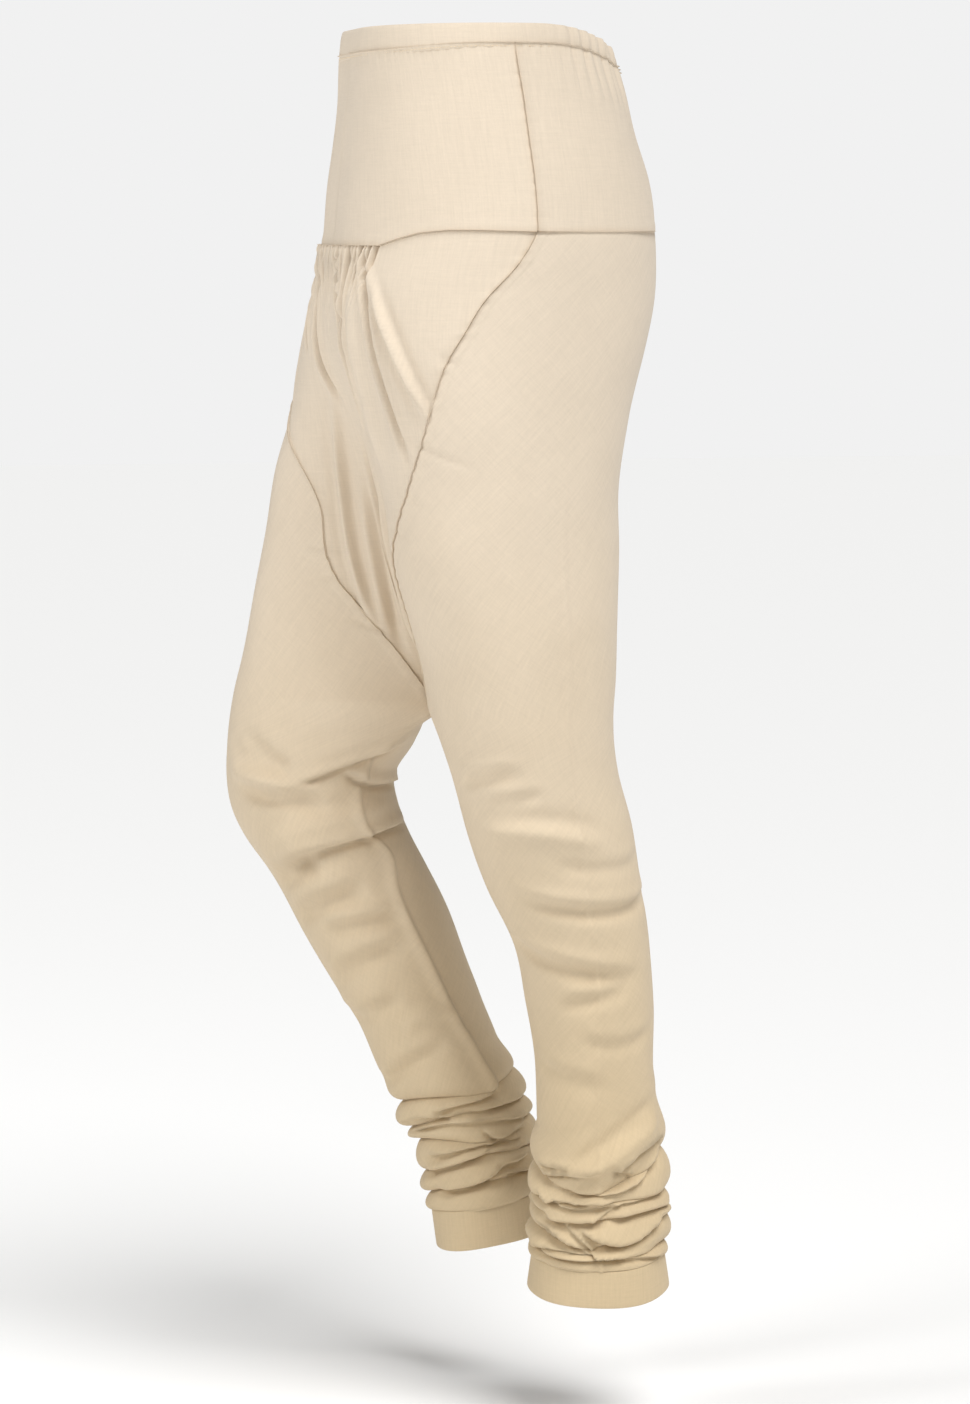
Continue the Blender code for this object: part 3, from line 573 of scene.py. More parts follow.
def thigh(side, z):
    """Middle, half sizes, foremost and rearmost point of one half at a height."""
    rows = HALVES[side]
    middle = np.array([side * read(rows, "x", z), read(rows, "y", z)])
    half = np.array([read(rows, "half_x", z), read(rows, "half_y", z)])
    return middle, half, middle - [0, half[1]], middle + [0, half[1]]


def meeting(side, z):
    """Where this half starts at the front and ends at the back, and how softly."""
    gap = side * SEAM_GAP / 2
    if z >= CROTCH_Z:
        front = np.array([gap, read(VALLEY, "front_y", z)])
        back = np.array([gap, read(VALLEY, "back_y", z)])
        return front, back, read(VALLEY, "soft", z)
    middle, half, _, _ = thigh(side, z)
    inner = middle - [side * half[0], 0]
    crotch = np.array([gap, VALLEY["front_y"][0]])
    tip = inner + (crotch - inner) * math.exp(-(((CROTCH_Z - z) / CROTCH_SOFTEN) ** 2))
    return tip, tip, 0.0


def half_section(side, z):
    """One half section at a height, as points evenly spaced from front to back."""
    middle, half, foremost, rearmost = thigh(side, z)
    _, _, other_foremost, other_rearmost = thigh(-side, z)
    front, back, soft = meeting(side, z)
    width = abs(foremost[0] - front[0])
    reach = (QUARTER + (SOFT_QUARTER - QUARTER) * soft) * width
    outward = np.array([side * reach, 0.0])

    across_front = foremost - other_foremost
    across_front = across_front / np.linalg.norm(across_front) * np.linalg.norm(foremost - front)
    across_back = rearmost - other_rearmost
    across_back = across_back / np.linalg.norm(across_back) * np.linalg.norm(rearmost - back)
    turn_front = np.array([0.0, -QUARTER * (front[1] - foremost[1])])
    turn_back = np.array([0.0, QUARTER * (rearmost[1] - back[1])])
    leave = soft * across_front + (1 - soft) * turn_front
    arrive = -(soft * across_back + (1 - soft) * turn_back)

    angle = np.linspace(-math.pi / 2, math.pi / 2, ARC_POINTS)[:, None]
    outer = middle + np.hstack([side * half[0] * np.cos(angle), half[1] * np.sin(angle)])
    front_web = bend(front, leave, foremost, outward, WEB_POINTS)
    back_web = bend(rearmost, -outward, back, arrive, WEB_POINTS)
    line = np.vstack([front_web[:-1], outer, back_web[1:]])
    run = np.concatenate([[0], np.cumsum(np.linalg.norm(np.diff(line, axis=0), axis=1))])
    even = np.linspace(0, run[-1], SHARES)
    return np.stack([np.interp(even, run, line[:, k]) for k in (0, 1)], axis=1), run[-1]


def neighbours(station, share):
    """Shares just ahead and behind, which run on round the ring below the crotch."""
    step = SLOPE_COLUMNS / (SHARES - 1)
    ring = station <= CROTCH_Z
    ahead = np.where(ring, (share + step) % 1.0, np.minimum(share + step, 1))
    behind = np.where(ring, (share - step) % 1.0, np.maximum(share - step, 0))
    return ahead, behind


class Skin:
    """The smooth outside of one half, read at any height and share."""

    def __init__(self, side):
        self.side = side
        self.levels = np.linspace(HALVES[side]["z"][0], HALVES[side]["z"][-1], LEVELS)
        sections = [half_section(side, z) for z in self.levels]
        self.grid = np.array([points for points, _ in sections])
        self.around = np.array([length for _, length in sections])

    def plan(self, z, share):
        """x and y at each height and share."""
        row = np.clip((z - self.levels[0]) / (self.levels[1] - self.levels[0]), 0, LEVELS - 1.001)
        column = np.clip(share * (SHARES - 1), 0, SHARES - 1.001)
        i, j = row.astype(int), column.astype(int)
        a, b = (row - i)[..., None], (column - j)[..., None]
        low = self.grid[i, j] * (1 - b) + self.grid[i, j + 1] * b
        high = self.grid[i + 1, j] * (1 - b) + self.grid[i + 1, j + 1] * b
        return low * (1 - a) + high * a

    def length(self, z):
        """The length round this half at each height."""
        return np.interp(z, self.levels, self.around)

    def turn(self, z, share):
        """The angle round the leg, from the outer side toward the back."""
        rows = HALVES[self.side]
        spot = self.plan(z, share)
        across = (self.side * spot[..., 0] - read(rows, "x", z)) / read(rows, "half_x", z)
        along = (spot[..., 1] - read(rows, "y", z)) / read(rows, "half_y", z)
        return np.arctan2(along, across)

    def outside(self, station, share, relief=None):
        """Points on the outside, with the rolls of the ankle and any relief added."""
        spot = self.plan(station, share)
        ahead, behind = neighbours(station, share)
        along = self.plan(station, ahead) - self.plan(station, behind)
        out = np.stack([along[..., 1], -along[..., 0]], axis=-1) * self.side
        out /= np.maximum(np.linalg.norm(out, axis=-1, keepdims=True), 1e-9)

        turn = self.turn(station, share)
        push, droop = rolls(self.side, station, turn)
        if relief is not None:
            raised, lowered = relief(self, station, share)
            push, droop = push + raised, droop + lowered
        spot = spot + out * push[..., None]
        rows = HALVES[self.side]
        tilt = read(rows, "rise", station) * (spot[..., 1] - read(rows, "y", station))
        tilt -= read(rows, "dip", station) * (self.side * spot[..., 0] - read(rows, "x", station))
        height = station + tilt + droop + crease_lift(self.side, station, turn) + WAIST_DROP
        return np.concatenate([spot, height[..., None]], axis=-1)


@functools.lru_cache(maxsize=None)
def skin_of(side):
    return Skin(side)


def crease_lift(side, station, turn):
    """How far each height is moved up or down, so that rows follow the creases."""
    rows = CREASES[side]
    columns = ("lean", "sag", "sway", "turn")
    parts = [np.interp(station, rows["z"], rows[name], left=0) for name in columns]
    lean, sag, sway, phase = parts
    fade = smooth((rows["z"][-1] + CREASE_FADE - station) / CREASE_FADE)
    waves = lean * np.sin(turn) - sag * np.cos(turn) + sway * np.cos(2 * turn - phase)
    return waves * fade


def rolls(side, station, turn):
    """How far the rolls at the ankle stand out, and how far they droop."""
    rows = CREASES[side]
    heights = rows["z"]
    i = np.clip(np.searchsorted(heights, station) - 1, 0, len(heights) - 2)
    t = np.clip((station - heights[i]) / (heights[i + 1] - heights[i]), 0, 1)
    seen = np.cos(turn) if side == LEFT else -np.cos(turn)
    uneven = 1 - ROLL_UNEVENNESS * (1 - np.cos(turn * 2 + 2.4 * i))
    uneven = uneven * (1 - ROLL_BROKEN * smooth((seen - 0.10) / 0.5))
    uneven = uneven * (1 + 0.12 * np.sin(turn * 3 + 1.7 * i) + 0.07 * np.sin(turn * 7 + 2.9 * i))
    topmost = i == len(heights) - 2
    rise = np.where(topmost, t / (2 * TOP_ROLL_CREST), t)
    bump = np.power(np.clip(4 * rise * (1 - rise), 0, 1), ROLL_FULLNESS)
    bump = np.where(topmost & (t > TOP_ROLL_CREST), smooth((1 - t) / (1 - TOP_ROLL_CREST)), bump)
    floor = -((1 - t) * rows["tuck"][i] + t * rows["tuck"][i + 1])
    inside = (station >= heights[0]) & (station <= heights[-1])
    push = np.where(inside, floor + bump * (rows["roll"][i + 1] * uneven - floor), 0)
    return push, np.where(inside, -ROLL_DROOP * bump * uneven, 0)


def crease_profile(x):
    """Across a crease: the trough, and the softer ridge that stands above it."""
    return np.exp(-(x**2)) - 0.45 * np.exp(-((x - 1.7) ** 2))


def across_lines(rows, station, turn):
    """Relief of the creases that run round a leg."""
    push = np.zeros_like(station)
    for turn_from, turn_to, z_from, z_middle, z_to, width, out in each(rows):
        middle = math.radians((turn_from + turn_to) / 2)
        half = math.radians((turn_to - turn_from) / 2)
        t = ((turn - middle + math.pi) % (2 * math.pi) - math.pi) / half
        z = z_middle + (z_to - z_from) / 2 * t + ((z_from + z_to) / 2 - z_middle) * t * t
        taper = smooth((1 - np.abs(t)) / 0.55)
        push += FOLD_STRENGTH * out * taper * crease_profile((station - z) / width)
    return push


def tuck_lines(rows, station, turn):
    """Relief of the sharp tucks, and how far the cloth above each one hangs down."""
    push = np.zeros_like(station)
    droop = np.zeros_like(station)
    for turn_from, turn_to, *heights, width, out in each(rows):
        middle = math.radians((turn_from + turn_to) / 2)
        half = math.radians((turn_to - turn_from) / 2)
        t = ((turn - middle + math.pi) % (2 * math.pi) - math.pi) / half
        z = curve(heights, t)
        taper = smooth((1 - np.abs(t)) / 0.40)
        x = (station - z) / width
        lip = np.exp(-(((x - 1.9) / 1.25) ** 2))
        across = np.exp(-(x**2)) - 0.55 * lip + 0.25 * np.exp(-(((x + 2.0) / 1.6) ** 2))
        push += TUCK_STRENGTH * out * taper * across
        droop += out * taper * TUCK_OVERHANG * lip
    return push, droop


def curve(heights, t):
    """A smooth line through five even stops, with t running from -1 to 1."""
    stops = {"t": np.linspace(-1, 1, len(heights)), "z": np.array(heights)}
    return read(stops, "z", t, key="t")


def down_lines(skin, rows, station, share):
    """Relief of the folds that run down the gusset."""
    push = np.zeros_like(station)
    length = skin.length(station)
    for z_from, z_to, share_from, share_middle, share_to, width, out in each(rows):
        t = (station - (z_from + z_to) / 2) / ((z_to - z_from) / 2)
        line = share_middle + (share_to - share_from) / 2 * t
        line = line + ((share_from + share_to) / 2 - share_middle) * t * t
        start = 0.4 if z_from > -0.180 else 0.7
        taper = smooth((1 - t) / 0.6) * smooth((1 + t + 0.12) / (start + 0.12))
        away = (share - line) * length / width
        across = np.exp(-(away**2)) - 0.35 * np.exp(-((np.abs(away) - 1.8) ** 2))
        push += DOWN_STRENGTH * out * taper * across
    return push


def crossing_lines(skin, rows, station, share):
    """Relief of the short creases that cross a seam."""
    push = np.zeros_like(station)
    length = skin.length(station)
    for z, middle, reach, slope, width, out in each(rows):
        along = (share - middle) * length
        rise = station - z - slope * along
        push += out * smooth(1 - np.abs(along) / reach) * np.exp(-((rise / width) ** 2))
    return push


def seam_depth(side, station):
    """How deep the gusset seam lies: the upper part of the right one is nearly flat."""
    flat = smooth((station - FLAT_SEAM_Z) / FLAT_SEAM_FADE)
    return 1 - FLAT_SEAM_SHARE * flat * (side == RIGHT)


def seam_relief(distance, run, depth=1):
    """Relief beside a seam: its groove, the pressed allowance and small puckers."""
    away = np.abs(distance)
    groove = -SEAM_GROOVE * np.exp(-((away / SEAM_GROOVE_WIDTH) ** 2))
    ledge = ALLOWANCE_STEP * smooth((ALLOWANCE_WIDTH - away) / 0.0016)
    wave = np.sin(2 * math.pi * run / SEAM_PUCKER_PITCH) + 0.6 * np.sin(2 * math.pi * run / 0.0127 + 1.1)
    return depth * (groove + ledge + SEAM_PUCKER * wave * np.exp(-((away / SEAM_PUCKER_REACH) ** 2)))


def hand(side, station, turn):
    """Slow unevenness of worn cotton, under a millimetre high."""
    a = np.sin(41 * station + 2.0 * turn + 1.3 * side)
    b = np.sin(67 * station - 3.0 * turn + 0.4)
    c = np.sin(23 * station + 5.0 * turn + 2.2 * side)
    return 0.00035 * (a + b) + 0.00025 * c


def varied(row, number, power=1):
    """A value that differs from one gather to the next."""
    base, swing, rate, shift = row
    return base + swing * np.sin(rate * number + shift) ** power


def gather_relief(skin, station, share):
    """Relief of the gathers at the yoke seam: sharp, uneven and soon spent."""
    seam = read(GUSSET_SEAM[skin.side], "share", station)
    spread = share / np.maximum(seam, NARROWEST_SHARE) * 0.5 / GATHER_SHARE
    below = YOKE_SEAM_Z - YOKE_FRONT_DIP - station
    keep = smooth((1 + GATHER_END / 2 - spread) / GATHER_END)
    number = spread * GATHERS_PER_SIDE + varied(GATHER_SPACING, spread)
    each_one = np.floor(number + 0.5)
    valley = (0.5 + 0.5 * np.cos(2 * math.pi * number)) ** GATHER_SHARPNESS
    reach = GATHER_DEEP_LENGTH * varied(GATHER_REACHES, each_one, 2)
    fade = GATHER_FADE * varied(GATHER_FADES, each_one, 2)
    deep = GATHER_DEPTH * varied(GATHER_HEIGHTS, each_one) * (GATHER_CREST - valley)
    deep = deep * (1 - smooth(below / reach))
    puff = GATHER_AT_SEAM + (1 - GATHER_AT_SEAM) * smooth((below + 0.0005) / GATHER_SWELL)
    soft = GATHER_SOFT * (GATHER_SOFT_CREST - valley) * (1 - smooth(below / fade))
    return keep * (deep * puff + soft)


def gusset_relief(skin, station, share):
    """All the relief of the gusset."""
    side = skin.side
    seam = read(GUSSET_SEAM[side], "share", station)
    distance = (seam - share) * skin.length(station)
    top = (yoke_edge(share) - station)
    push = gather_relief(skin, station, share)
    push += down_lines(skin, DOWN[side], station, share)
    push += crossing_lines(skin, CROSSING[side], station, share)
    depth = seam_depth(side, station)
    ledge = depth * ALLOWANCE_STEP * smooth((ALLOWANCE_WIDTH - distance) / 0.0016)
    push += seam_relief(distance, station, depth) - ledge
    push -= SEAM_GROOVE * np.exp(-((top / SEAM_GROOVE_WIDTH) ** 2))
    return push + hand(side, station, share * 6) * smooth(distance / 0.01), 0


def leg_relief(skin, station, share):
    """All the relief of a leg."""
    side = skin.side
    turn = skin.turn(station, share)
    length = skin.length(station)
    push, droop = tuck_lines(TUCKS[side], station, turn)
    push += across_lines(ACROSS[side], station, turn)
    push += crossing_lines(skin, CROSSING[side], station, share)
    above = smooth((station - CROTCH_Z) / 0.02)
    seam = read(GUSSET_SEAM[side], "share", station)
    push += above * seam_relief((share - seam) * length, station, seam_depth(side, station))
    push += above * seam_relief((1 - share) * length, station + 0.003)
    top = yoke_edge(share) - station
    push -= SEAM_GROOVE * np.exp(-((top / SEAM_GROOVE_WIDTH) ** 2))

    inseam = ((share - read(INSEAM[side], "share", station) + 0.5) % 1.0 - 0.5) * length
    reach = np.where(inseam > 0, 0.0065, 0.0022)
    fade = smooth((station - CREASES[side]["z"][0] - 0.075) / 0.02) * (1 - above)
    push += INSEAM_RIDGE * fade * np.exp(-((inseam / reach) ** 2))
    if side == LEFT:
        pressed = turn - np.radians(read(PRESSED, "turn", station))
        pressed = pressed * read(HALVES[side], "half_y", station)
        shown = smooth((PRESSED_FROM - station) / PRESSED_EASE)
        push += PRESSED_RIDGE * shown * np.exp(-((pressed / PRESSED_WIDTH) ** 2))
    return push + hand(side, station, turn), droop


def pucker_relief(skin, station, share):
    """Relief where the elastic draws up the casing and the cloth under it."""
    number = (share - PUCKERED_FROM) / (1 - PUCKERED_FROM) * PUCKERS_PER_SIDE
    uneven = 0.75 + 0.25 * np.sin(2.7 * np.floor(number) + skin.side)
    wave = np.abs(np.sin(number * math.pi)) ** 1.3
    return PUCKER_HEIGHT * wave * uneven * smooth((share - PUCKERED_FROM) / PUCKER_EASE)


def yoke_relief(skin, station, share):
    """All the relief of the yoke."""
    below = casing_bottom(share) - station
    drawn = pucker_relief(skin, station, share) * (1 - smooth(below / 0.045))
    number = share * 46 + 0.7 * np.sin(share * 21)
    front = 0.00035 * np.sin(2 * math.pi * number) * np.exp(-((below / 0.006) ** 2))
    side_seam = seam_relief((share - 0.5) * skin.length(station), station)
    bottom = station - yoke_edge(share)
    hem = ALLOWANCE_STEP * smooth((0.007 - bottom) / 0.0014)
    hem = hem - SEAM_GROOVE * np.exp(-((bottom / SEAM_GROOVE_WIDTH) ** 2))
    gathered = smooth((GATHER_SHARE + 0.02 - share) / 0.04)
    nibble = 0.0005 * gathered * np.sin(2 * math.pi * share / GATHER_SHARE * GATHERS_PER_SIDE)
    tugs = nibble * np.exp(-((bottom / 0.007) ** 2))
    return drawn + front + side_seam + hem + tugs + hand(skin.side, station, share * 6), 0


def yoke_edge(share):
    """Height of the seam under the yoke. It dips across the gathered front."""
    return YOKE_SEAM_Z - YOKE_FRONT_DIP * np.interp(share, YOKE_EDGE["share"], YOKE_EDGE["dip"])


def casing_top(share):
    """Height of the waist edge, level but for a drop at the back."""
    return -WAIST_DROP - CASING_BACK_DROP * smooth((share - 0.55) / 0.4)


def casing_bottom(share):
    """Height of the stitching under the waist casing."""
    deeper = CASING_FRONT_EXTRA * (1 - smooth((share - 0.15) / 0.3))
    return casing_top(share) - CASING_HEIGHT - deeper


def between(top, bottom, down):
    """Heights between two edge lines, rows by columns, from the top down."""
    down = np.asarray(down)[:, None]
    return np.asarray(top) * (1 - down) + np.asarray(bottom) * down


def joined(layers, meet):
    """The left and right grids side by side, with their meeting column made one."""
    left, right = layers
    middle = (left[:, meet] + right[:, meet]) / 2
    left[:, meet] = middle
    right[:, meet] = middle
    if meet == 0:
        return np.concatenate([right[:, :0:-1], left], axis=1)
    return np.concatenate([left, right[:, -2::-1]], axis=1)


# Meshes

TURNED_IN = 0.0015


def grid_normals(points):
    """Unit normals of a grid of points, from its own rows and columns."""
    out = np.cross(np.gradient(points, axis=1), np.gradient(points, axis=0))
    return out / np.maximum(np.linalg.norm(out, axis=-1, keepdims=True), 1e-12)


def tightened(grid):
    """The grid with one more line close inside each of its four edges."""
    share = 0.05
    for _ in range(2):
        first = grid[:1] * (1 - share) + grid[1:2] * share
        last = grid[-1:] * (1 - share) + grid[-2:-1] * share
        grid = np.concatenate([grid[:1], first, grid[1:-1], last, grid[-1:]])
        grid = grid.swapaxes(0, 1)
    return grid


def cloth_object(name, points, uv, faces, finish):
    """A smooth object from flat lists of points and faces, with its UV map."""
    listed = np.concatenate([np.asarray(face) for face in faces]) if isinstance(faces, list) else faces
    used = np.unique(listed)
    place = np.full(len(points), -1)
    place[used] = np.arange(len(used))
    mesh = bpy.data.meshes.new(name)
    mesh.from_pydata(points[used].tolist(), [], place[faces].tolist())
    layer = mesh.uv_layers.new(name="cloth")
    corner = np.empty(len(mesh.loops), dtype=np.int32)
    mesh.loops.foreach_get("vertex_index", corner)
    layer.data.foreach_set("uv", uv[used][corner].astype(np.float32).ravel())
    mesh.materials.append(finish)
    mesh.shade_smooth()
    made = bpy.data.objects.new(name, mesh)
    bpy.context.scene.collection.objects.link(made)
    return made


def shell(name, points, uv, outward, finish, joined_from=None):
    """A thin shell from one grid, with its open edges turned in as at a seam.

    Rows from joined_from on close round. Outward is 1 or -1, the sense in which the
    grid's own normals point out of the cloth.
    """
    points, uv = tightened(points), tightened(uv)
    if joined_from is not None:
        joined_from += 1
    normal = grid_normals(points) * outward
    points = np.pad(points, ((1, 1), (1, 1), (0, 0)), mode="edge")
    normal = np.pad(normal, ((1, 1), (1, 1), (0, 0)), mode="edge")
    uv = np.pad(uv, ((1, 1), (1, 1), (0, 0)), mode="edge")
    border = np.zeros(points.shape[:2], bool)
    border[[0, -1]] = True
    border[:, [0, -1]] = True
    points[border] -= normal[border] * TURNED_IN
    rows, columns = points.shape[:2]
    index = np.arange(rows * columns).reshape(rows, columns)
    corners = [index[:-1, :-1], index[:-1, 1:], index[1:, 1:], index[1:, :-1]]
    quads = np.stack(corners, axis=-1)
    keep = np.ones(quads.shape[:2], bool)
    if joined_from is not None:
        keep[joined_from + 1 :, [0, -1]] = False
        last = index[joined_from + 1 :, -2]
        quads = quads.copy()
        swap = dict(zip(last.tolist(), index[joined_from + 1 :, 1].tolist()))
        column = quads[:, -2].ravel()
        quads[:, -2] = np.array([swap.get(k, k) for k in column.tolist()]).reshape(quads[:, -2].shape)
    faces = quads[keep]
    if outward > 0:
        faces = faces[:, ::-1]
    return cloth_object(name, points.reshape(-1, 3), uv.reshape(-1, 2), faces, finish)


def band(name, rings, uv, outward, finish):
    """A closed band from rings of points: the rows close round, and the columns too."""
    rows, columns = rings.shape[:2]
    index = np.arange(rows * columns).reshape(rows, columns)
    down = np.roll(index, -1, axis=0)
    quads = np.stack([index, np.roll(index, -1, axis=1), np.roll(down, -1, axis=1), down], axis=-1)
    faces = quads.reshape(-1, 4)
    if outward > 0:
        faces = faces[:, ::-1]
    return cloth_object(name, rings.reshape(-1, 3), uv.reshape(-1, 2), faces, finish)


def cloth_uv(skin, station, share):
    """Lengths round and down the cloth, in metres."""
    return np.stack([(share - 0.5) * skin.length(station) * skin.side, station], axis=-1)


def edge_profile(count, fullness):
    """Heights and depths round the section of a turned band, both from -1 to 1."""
    angle = np.linspace(0, 2 * math.pi, count, endpoint=False) + math.pi / count
    height = np.sign(np.cos(angle)) * np.abs(np.cos(angle)) ** fullness
    depth = np.sign(np.sin(angle)) * np.abs(np.sin(angle)) ** fullness
    return height, depth


# Shader maths and the cotton

# Thicker threads and the mottle: scale across, scale along and seed
WARP_SLUBS = (800.0, 45.0, 1.7)
WEFT_SLUBS = (50.0, 900.0, 5.3)
WEFT_SHARE = 0.7
MOTTLE = (420.0, 420.0, 9.1)
CLOUD_SCALE = 11.0
# Painted light and shade by height: the cotton is painted palest above the first height, as if lit more,
# and darkest and warmest below the second, as painted shade toward the hems
PAINTED_LIGHT_ABOVE = -0.20
PAINTED_SHADE_BELOW = -0.95
# How much the cloud noise shifts where the painted light turns to painted shade
PAINTED_SHADE_UNEVEN = 0.12
# How much each of them changes the tone and the bump
TONE = {"slubs": 0.15, "mottle": 0.07, "cloud": 0.06}
BUMP = {"weave": 0.5, "slubs": 1.4, "mottle": 1.0}
BUMP_STRENGTH = 0.55
COTTON_ROUGHNESS = 0.86


class Wire:
    """A socket that takes part in Python sums; each sum adds its Math node."""

    def __init__(self, graph, socket):
        self.graph = graph
        self.socket = socket

    def math(self, operation, first, second=None):
        values = {0: first} if second is None else {0: first, 1: second}
        return self.graph.add("ShaderNodeMath", {"operation": operation}, values).out("Value")

    def __add__(self, other):
        return self.math("ADD", self, other)

    __radd__ = __add__

    def __sub__(self, other):
        return self.math("SUBTRACT", self, other)

    def __mul__(self, other):
        return self.math("MULTIPLY", self, other)

    __rmul__ = __mul__

    def sine(self):
        return self.math("SINE", self)


class Step:
    """One node of a graph, whose outputs are read by name."""

    def __init__(self, graph, node):
        self.graph = graph
        self.node = node

    def out(self, name):
        return Wire(self.graph, self.node.outputs[name])


class Graph:
    """The nodes of one material."""

    def __init__(self, name):
        self.material = bpy.data.materials.new(name)
        self.material.use_nodes = True
        self.tree = self.material.node_tree
        self.shader = self.tree.nodes["Principled BSDF"]

    def add(self, kind, settings, values):
        """A node of a kind, with its settings and then the values of its sockets."""
        node = self.tree.nodes.new(kind)
        for name, value in settings.items():
            setattr(node, name, value)
        for name, value in values.items():
            self.feed(node.inputs[name], value)
        return Step(self, node)

    def feed(self, socket, value):
        if isinstance(value, Wire):
            self.tree.links.new(value.socket, socket)
        else:
            socket.default_value = value


def cotton(name, colour, hem_colour_with_painted_shade, bias, settings):
    """Plain woven cotton, with painted light and shade by height: paler higher up and darker and warmer
    toward the hems.
    """
    graph = Graph(name)
    flat = graph.add("ShaderNodeUVMap", {"uv_map": "cloth"}, {}).out("UV")
    turned = graph.add(
        "ShaderNodeVectorRotate", {"rotation_type": "Z_AXIS"}, {"Vector": flat, "Angle": bias}
    ).out("Vector")
    split = graph.add("ShaderNodeSeparateXYZ", {}, {"Vector": turned})
    warp, weft = split.out("X"), split.out("Y")
    pitch = settings.thread_pitch
    weave = (warp * (math.pi / pitch)).sine() * (weft * (math.pi / pitch)).sine()

    def streaks(across, along, seed):
        place = graph.add(
            "ShaderNodeCombineXYZ", {}, {"X": warp * across, "Y": weft * along, "Z": seed}
        ).out("Vector")
        noise = {"Vector": place, "Scale": 1.0, "Detail": 3.0, "Roughness": 0.6}
        return graph.add("ShaderNodeTexNoise", {}, noise).out("Fac") - 0.5

    slubs = streaks(*WARP_SLUBS) + streaks(*WEFT_SLUBS) * WEFT_SHARE
    mottle = streaks(*MOTTLE)
    spot = graph.add("ShaderNodeTexCoord", {}, {}).out("Object")
    cloud_values = {"Vector": spot, "Scale": CLOUD_SCALE, "Detail": 2.0}
    cloud = graph.add("ShaderNodeTexNoise", {}, cloud_values).out("Fac") - 0.5
    # Painted light and shade: the base colour runs by height from the paler colour at the waist to the
    # darker, warmer colour at the hems
    height = graph.add("ShaderNodeSeparateXYZ", {}, {"Vector": spot}).out("Z")
    down = graph.add(
        "ShaderNodeMapRange",
        {"interpolation_type": "SMOOTHSTEP"},
        {"Value": height + cloud * PAINTED_SHADE_UNEVEN, "From Min": PAINTED_LIGHT_ABOVE, "From Max": PAINTED_SHADE_BELOW},
    ).out("Result")
    base = graph.add(
        "ShaderNodeMix", {"data_type": "RGBA"}, {"Factor": down, "A": (*colour, 1), "B": (*hem_colour_with_painted_shade, 1)}
    )
    tone = 1.0 + slubs * TONE["slubs"] + mottle * TONE["mottle"] + cloud * TONE["cloud"]
    tone_colour = graph.add("ShaderNodeCombineXYZ", {}, {"X": tone, "Y": tone, "Z": tone}).out("Vector")
    mixed = graph.add(
        "ShaderNodeVectorMath",
        {"operation": "MULTIPLY"},
        {0: Wire(graph, base.node.outputs[2]), 1: tone_colour},
    ).out("Vector")
    relief = weave * BUMP["weave"] + slubs * BUMP["slubs"] + mottle * BUMP["mottle"]
    bump_values = {"Strength": BUMP_STRENGTH, "Distance": settings.weave_depth, "Height": relief}
    bump = graph.add("ShaderNodeBump", {}, bump_values).out("Normal")
    graph.feed(graph.shader.inputs["Base Color"], mixed)
    graph.feed(graph.shader.inputs["Roughness"], COTTON_ROUGHNESS + mottle * 0.10)
    graph.feed(graph.shader.inputs["Normal"], bump)
    graph.shader.inputs["Metallic"].default_value = 0
    graph.shader.inputs["Sheen Weight"].default_value = 0.12
    graph.shader.inputs["Sheen Roughness"].default_value = 0.5
    graph.shader.inputs["Specular IOR Level"].default_value = 0.25
    return graph.material


def plain(name, colour, roughness):
    """A plain finish."""
    graph = Graph(name)
    graph.shader.inputs["Base Color"].default_value = (*colour, 1)
    graph.shader.inputs["Roughness"].default_value = roughness
    return graph.material


# What the sidebar offers

class ChuridarCloth(bpy.types.PropertyGroup):
    # The cotton's colour at the waist and, as painted shade, its darker and warmer colour at the hems; the
    # cotton is painted between them by height
    colour: bpy.props.FloatVectorProperty(
        name="Cotton", description="Colour of the cotton at the waist", subtype="COLOR", size=3,
        min=0, max=1, default=(0.69, 0.59, 0.468),
    )
    hem_colour_with_painted_shade: bpy.props.FloatVectorProperty(
        name="Cotton below", description="Colour of the cotton at the hems", subtype="COLOR", size=3,
        min=0, max=1, default=(0.57, 0.447, 0.28),
    )
    thread_pitch: bpy.props.FloatProperty(
        name="Thread pitch", description="Distance from one thread to the next", default=0.00042,
        min=0.0001, max=0.002, unit="LENGTH",
    )
    weave_depth: bpy.props.FloatProperty(
        name="Weave depth", description="Depth of the weave and its slubs", default=0.00012,
        min=0, max=0.001, unit="LENGTH",
    )
    stitch_length: bpy.props.FloatProperty(
        name="Stitch", description="Length of one stitch and the gap after it", default=0.0030,
        min=0.001, max=0.01, unit="LENGTH",
    )
    thread: bpy.props.FloatProperty(
        name="Thread", description="Radius of the sewing thread", default=0.00022,
        min=0.0001, max=0.001, unit="LENGTH",
    )


class ChuridarStage(bpy.types.PropertyGroup):
    floor_drop: bpy.props.FloatProperty(
        name="Floor drop", description="How far the floor is below the hems", default=0.095,
        min=0, max=1, unit="LENGTH",
    )
    key: bpy.props.FloatProperty(
        name="Key light", description="Power of the key light", default=20, min=0, unit="POWER",
    )
    fill: bpy.props.FloatProperty(
        name="Fill light", description="Power of the fill light", default=8, min=0, unit="POWER",
    )
    sun: bpy.props.FloatProperty(
        name="Sun", description="Strength of the soft sun", default=2.6, min=0,
    )
    ambient: bpy.props.FloatProperty(
        name="Ambient", description="Strength of the light from all round", default=0.26, min=0,
    )
    backdrop: bpy.props.FloatProperty(
        name="Backdrop", description="Brightness of the backdrop", default=0.88, min=0,
    )


def cotton_finish(name, bias=0.0):
    settings = bpy.context.scene.churidar_cloth
    return cotton(name, settings.colour, settings.hem_colour_with_painted_shade, bias, settings)


def dress(made, node, slot, flat, held, **words):
    """Attaches a piece of cloth to the root and hides the solid it stands for."""
    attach(made, "root")
    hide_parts(node)


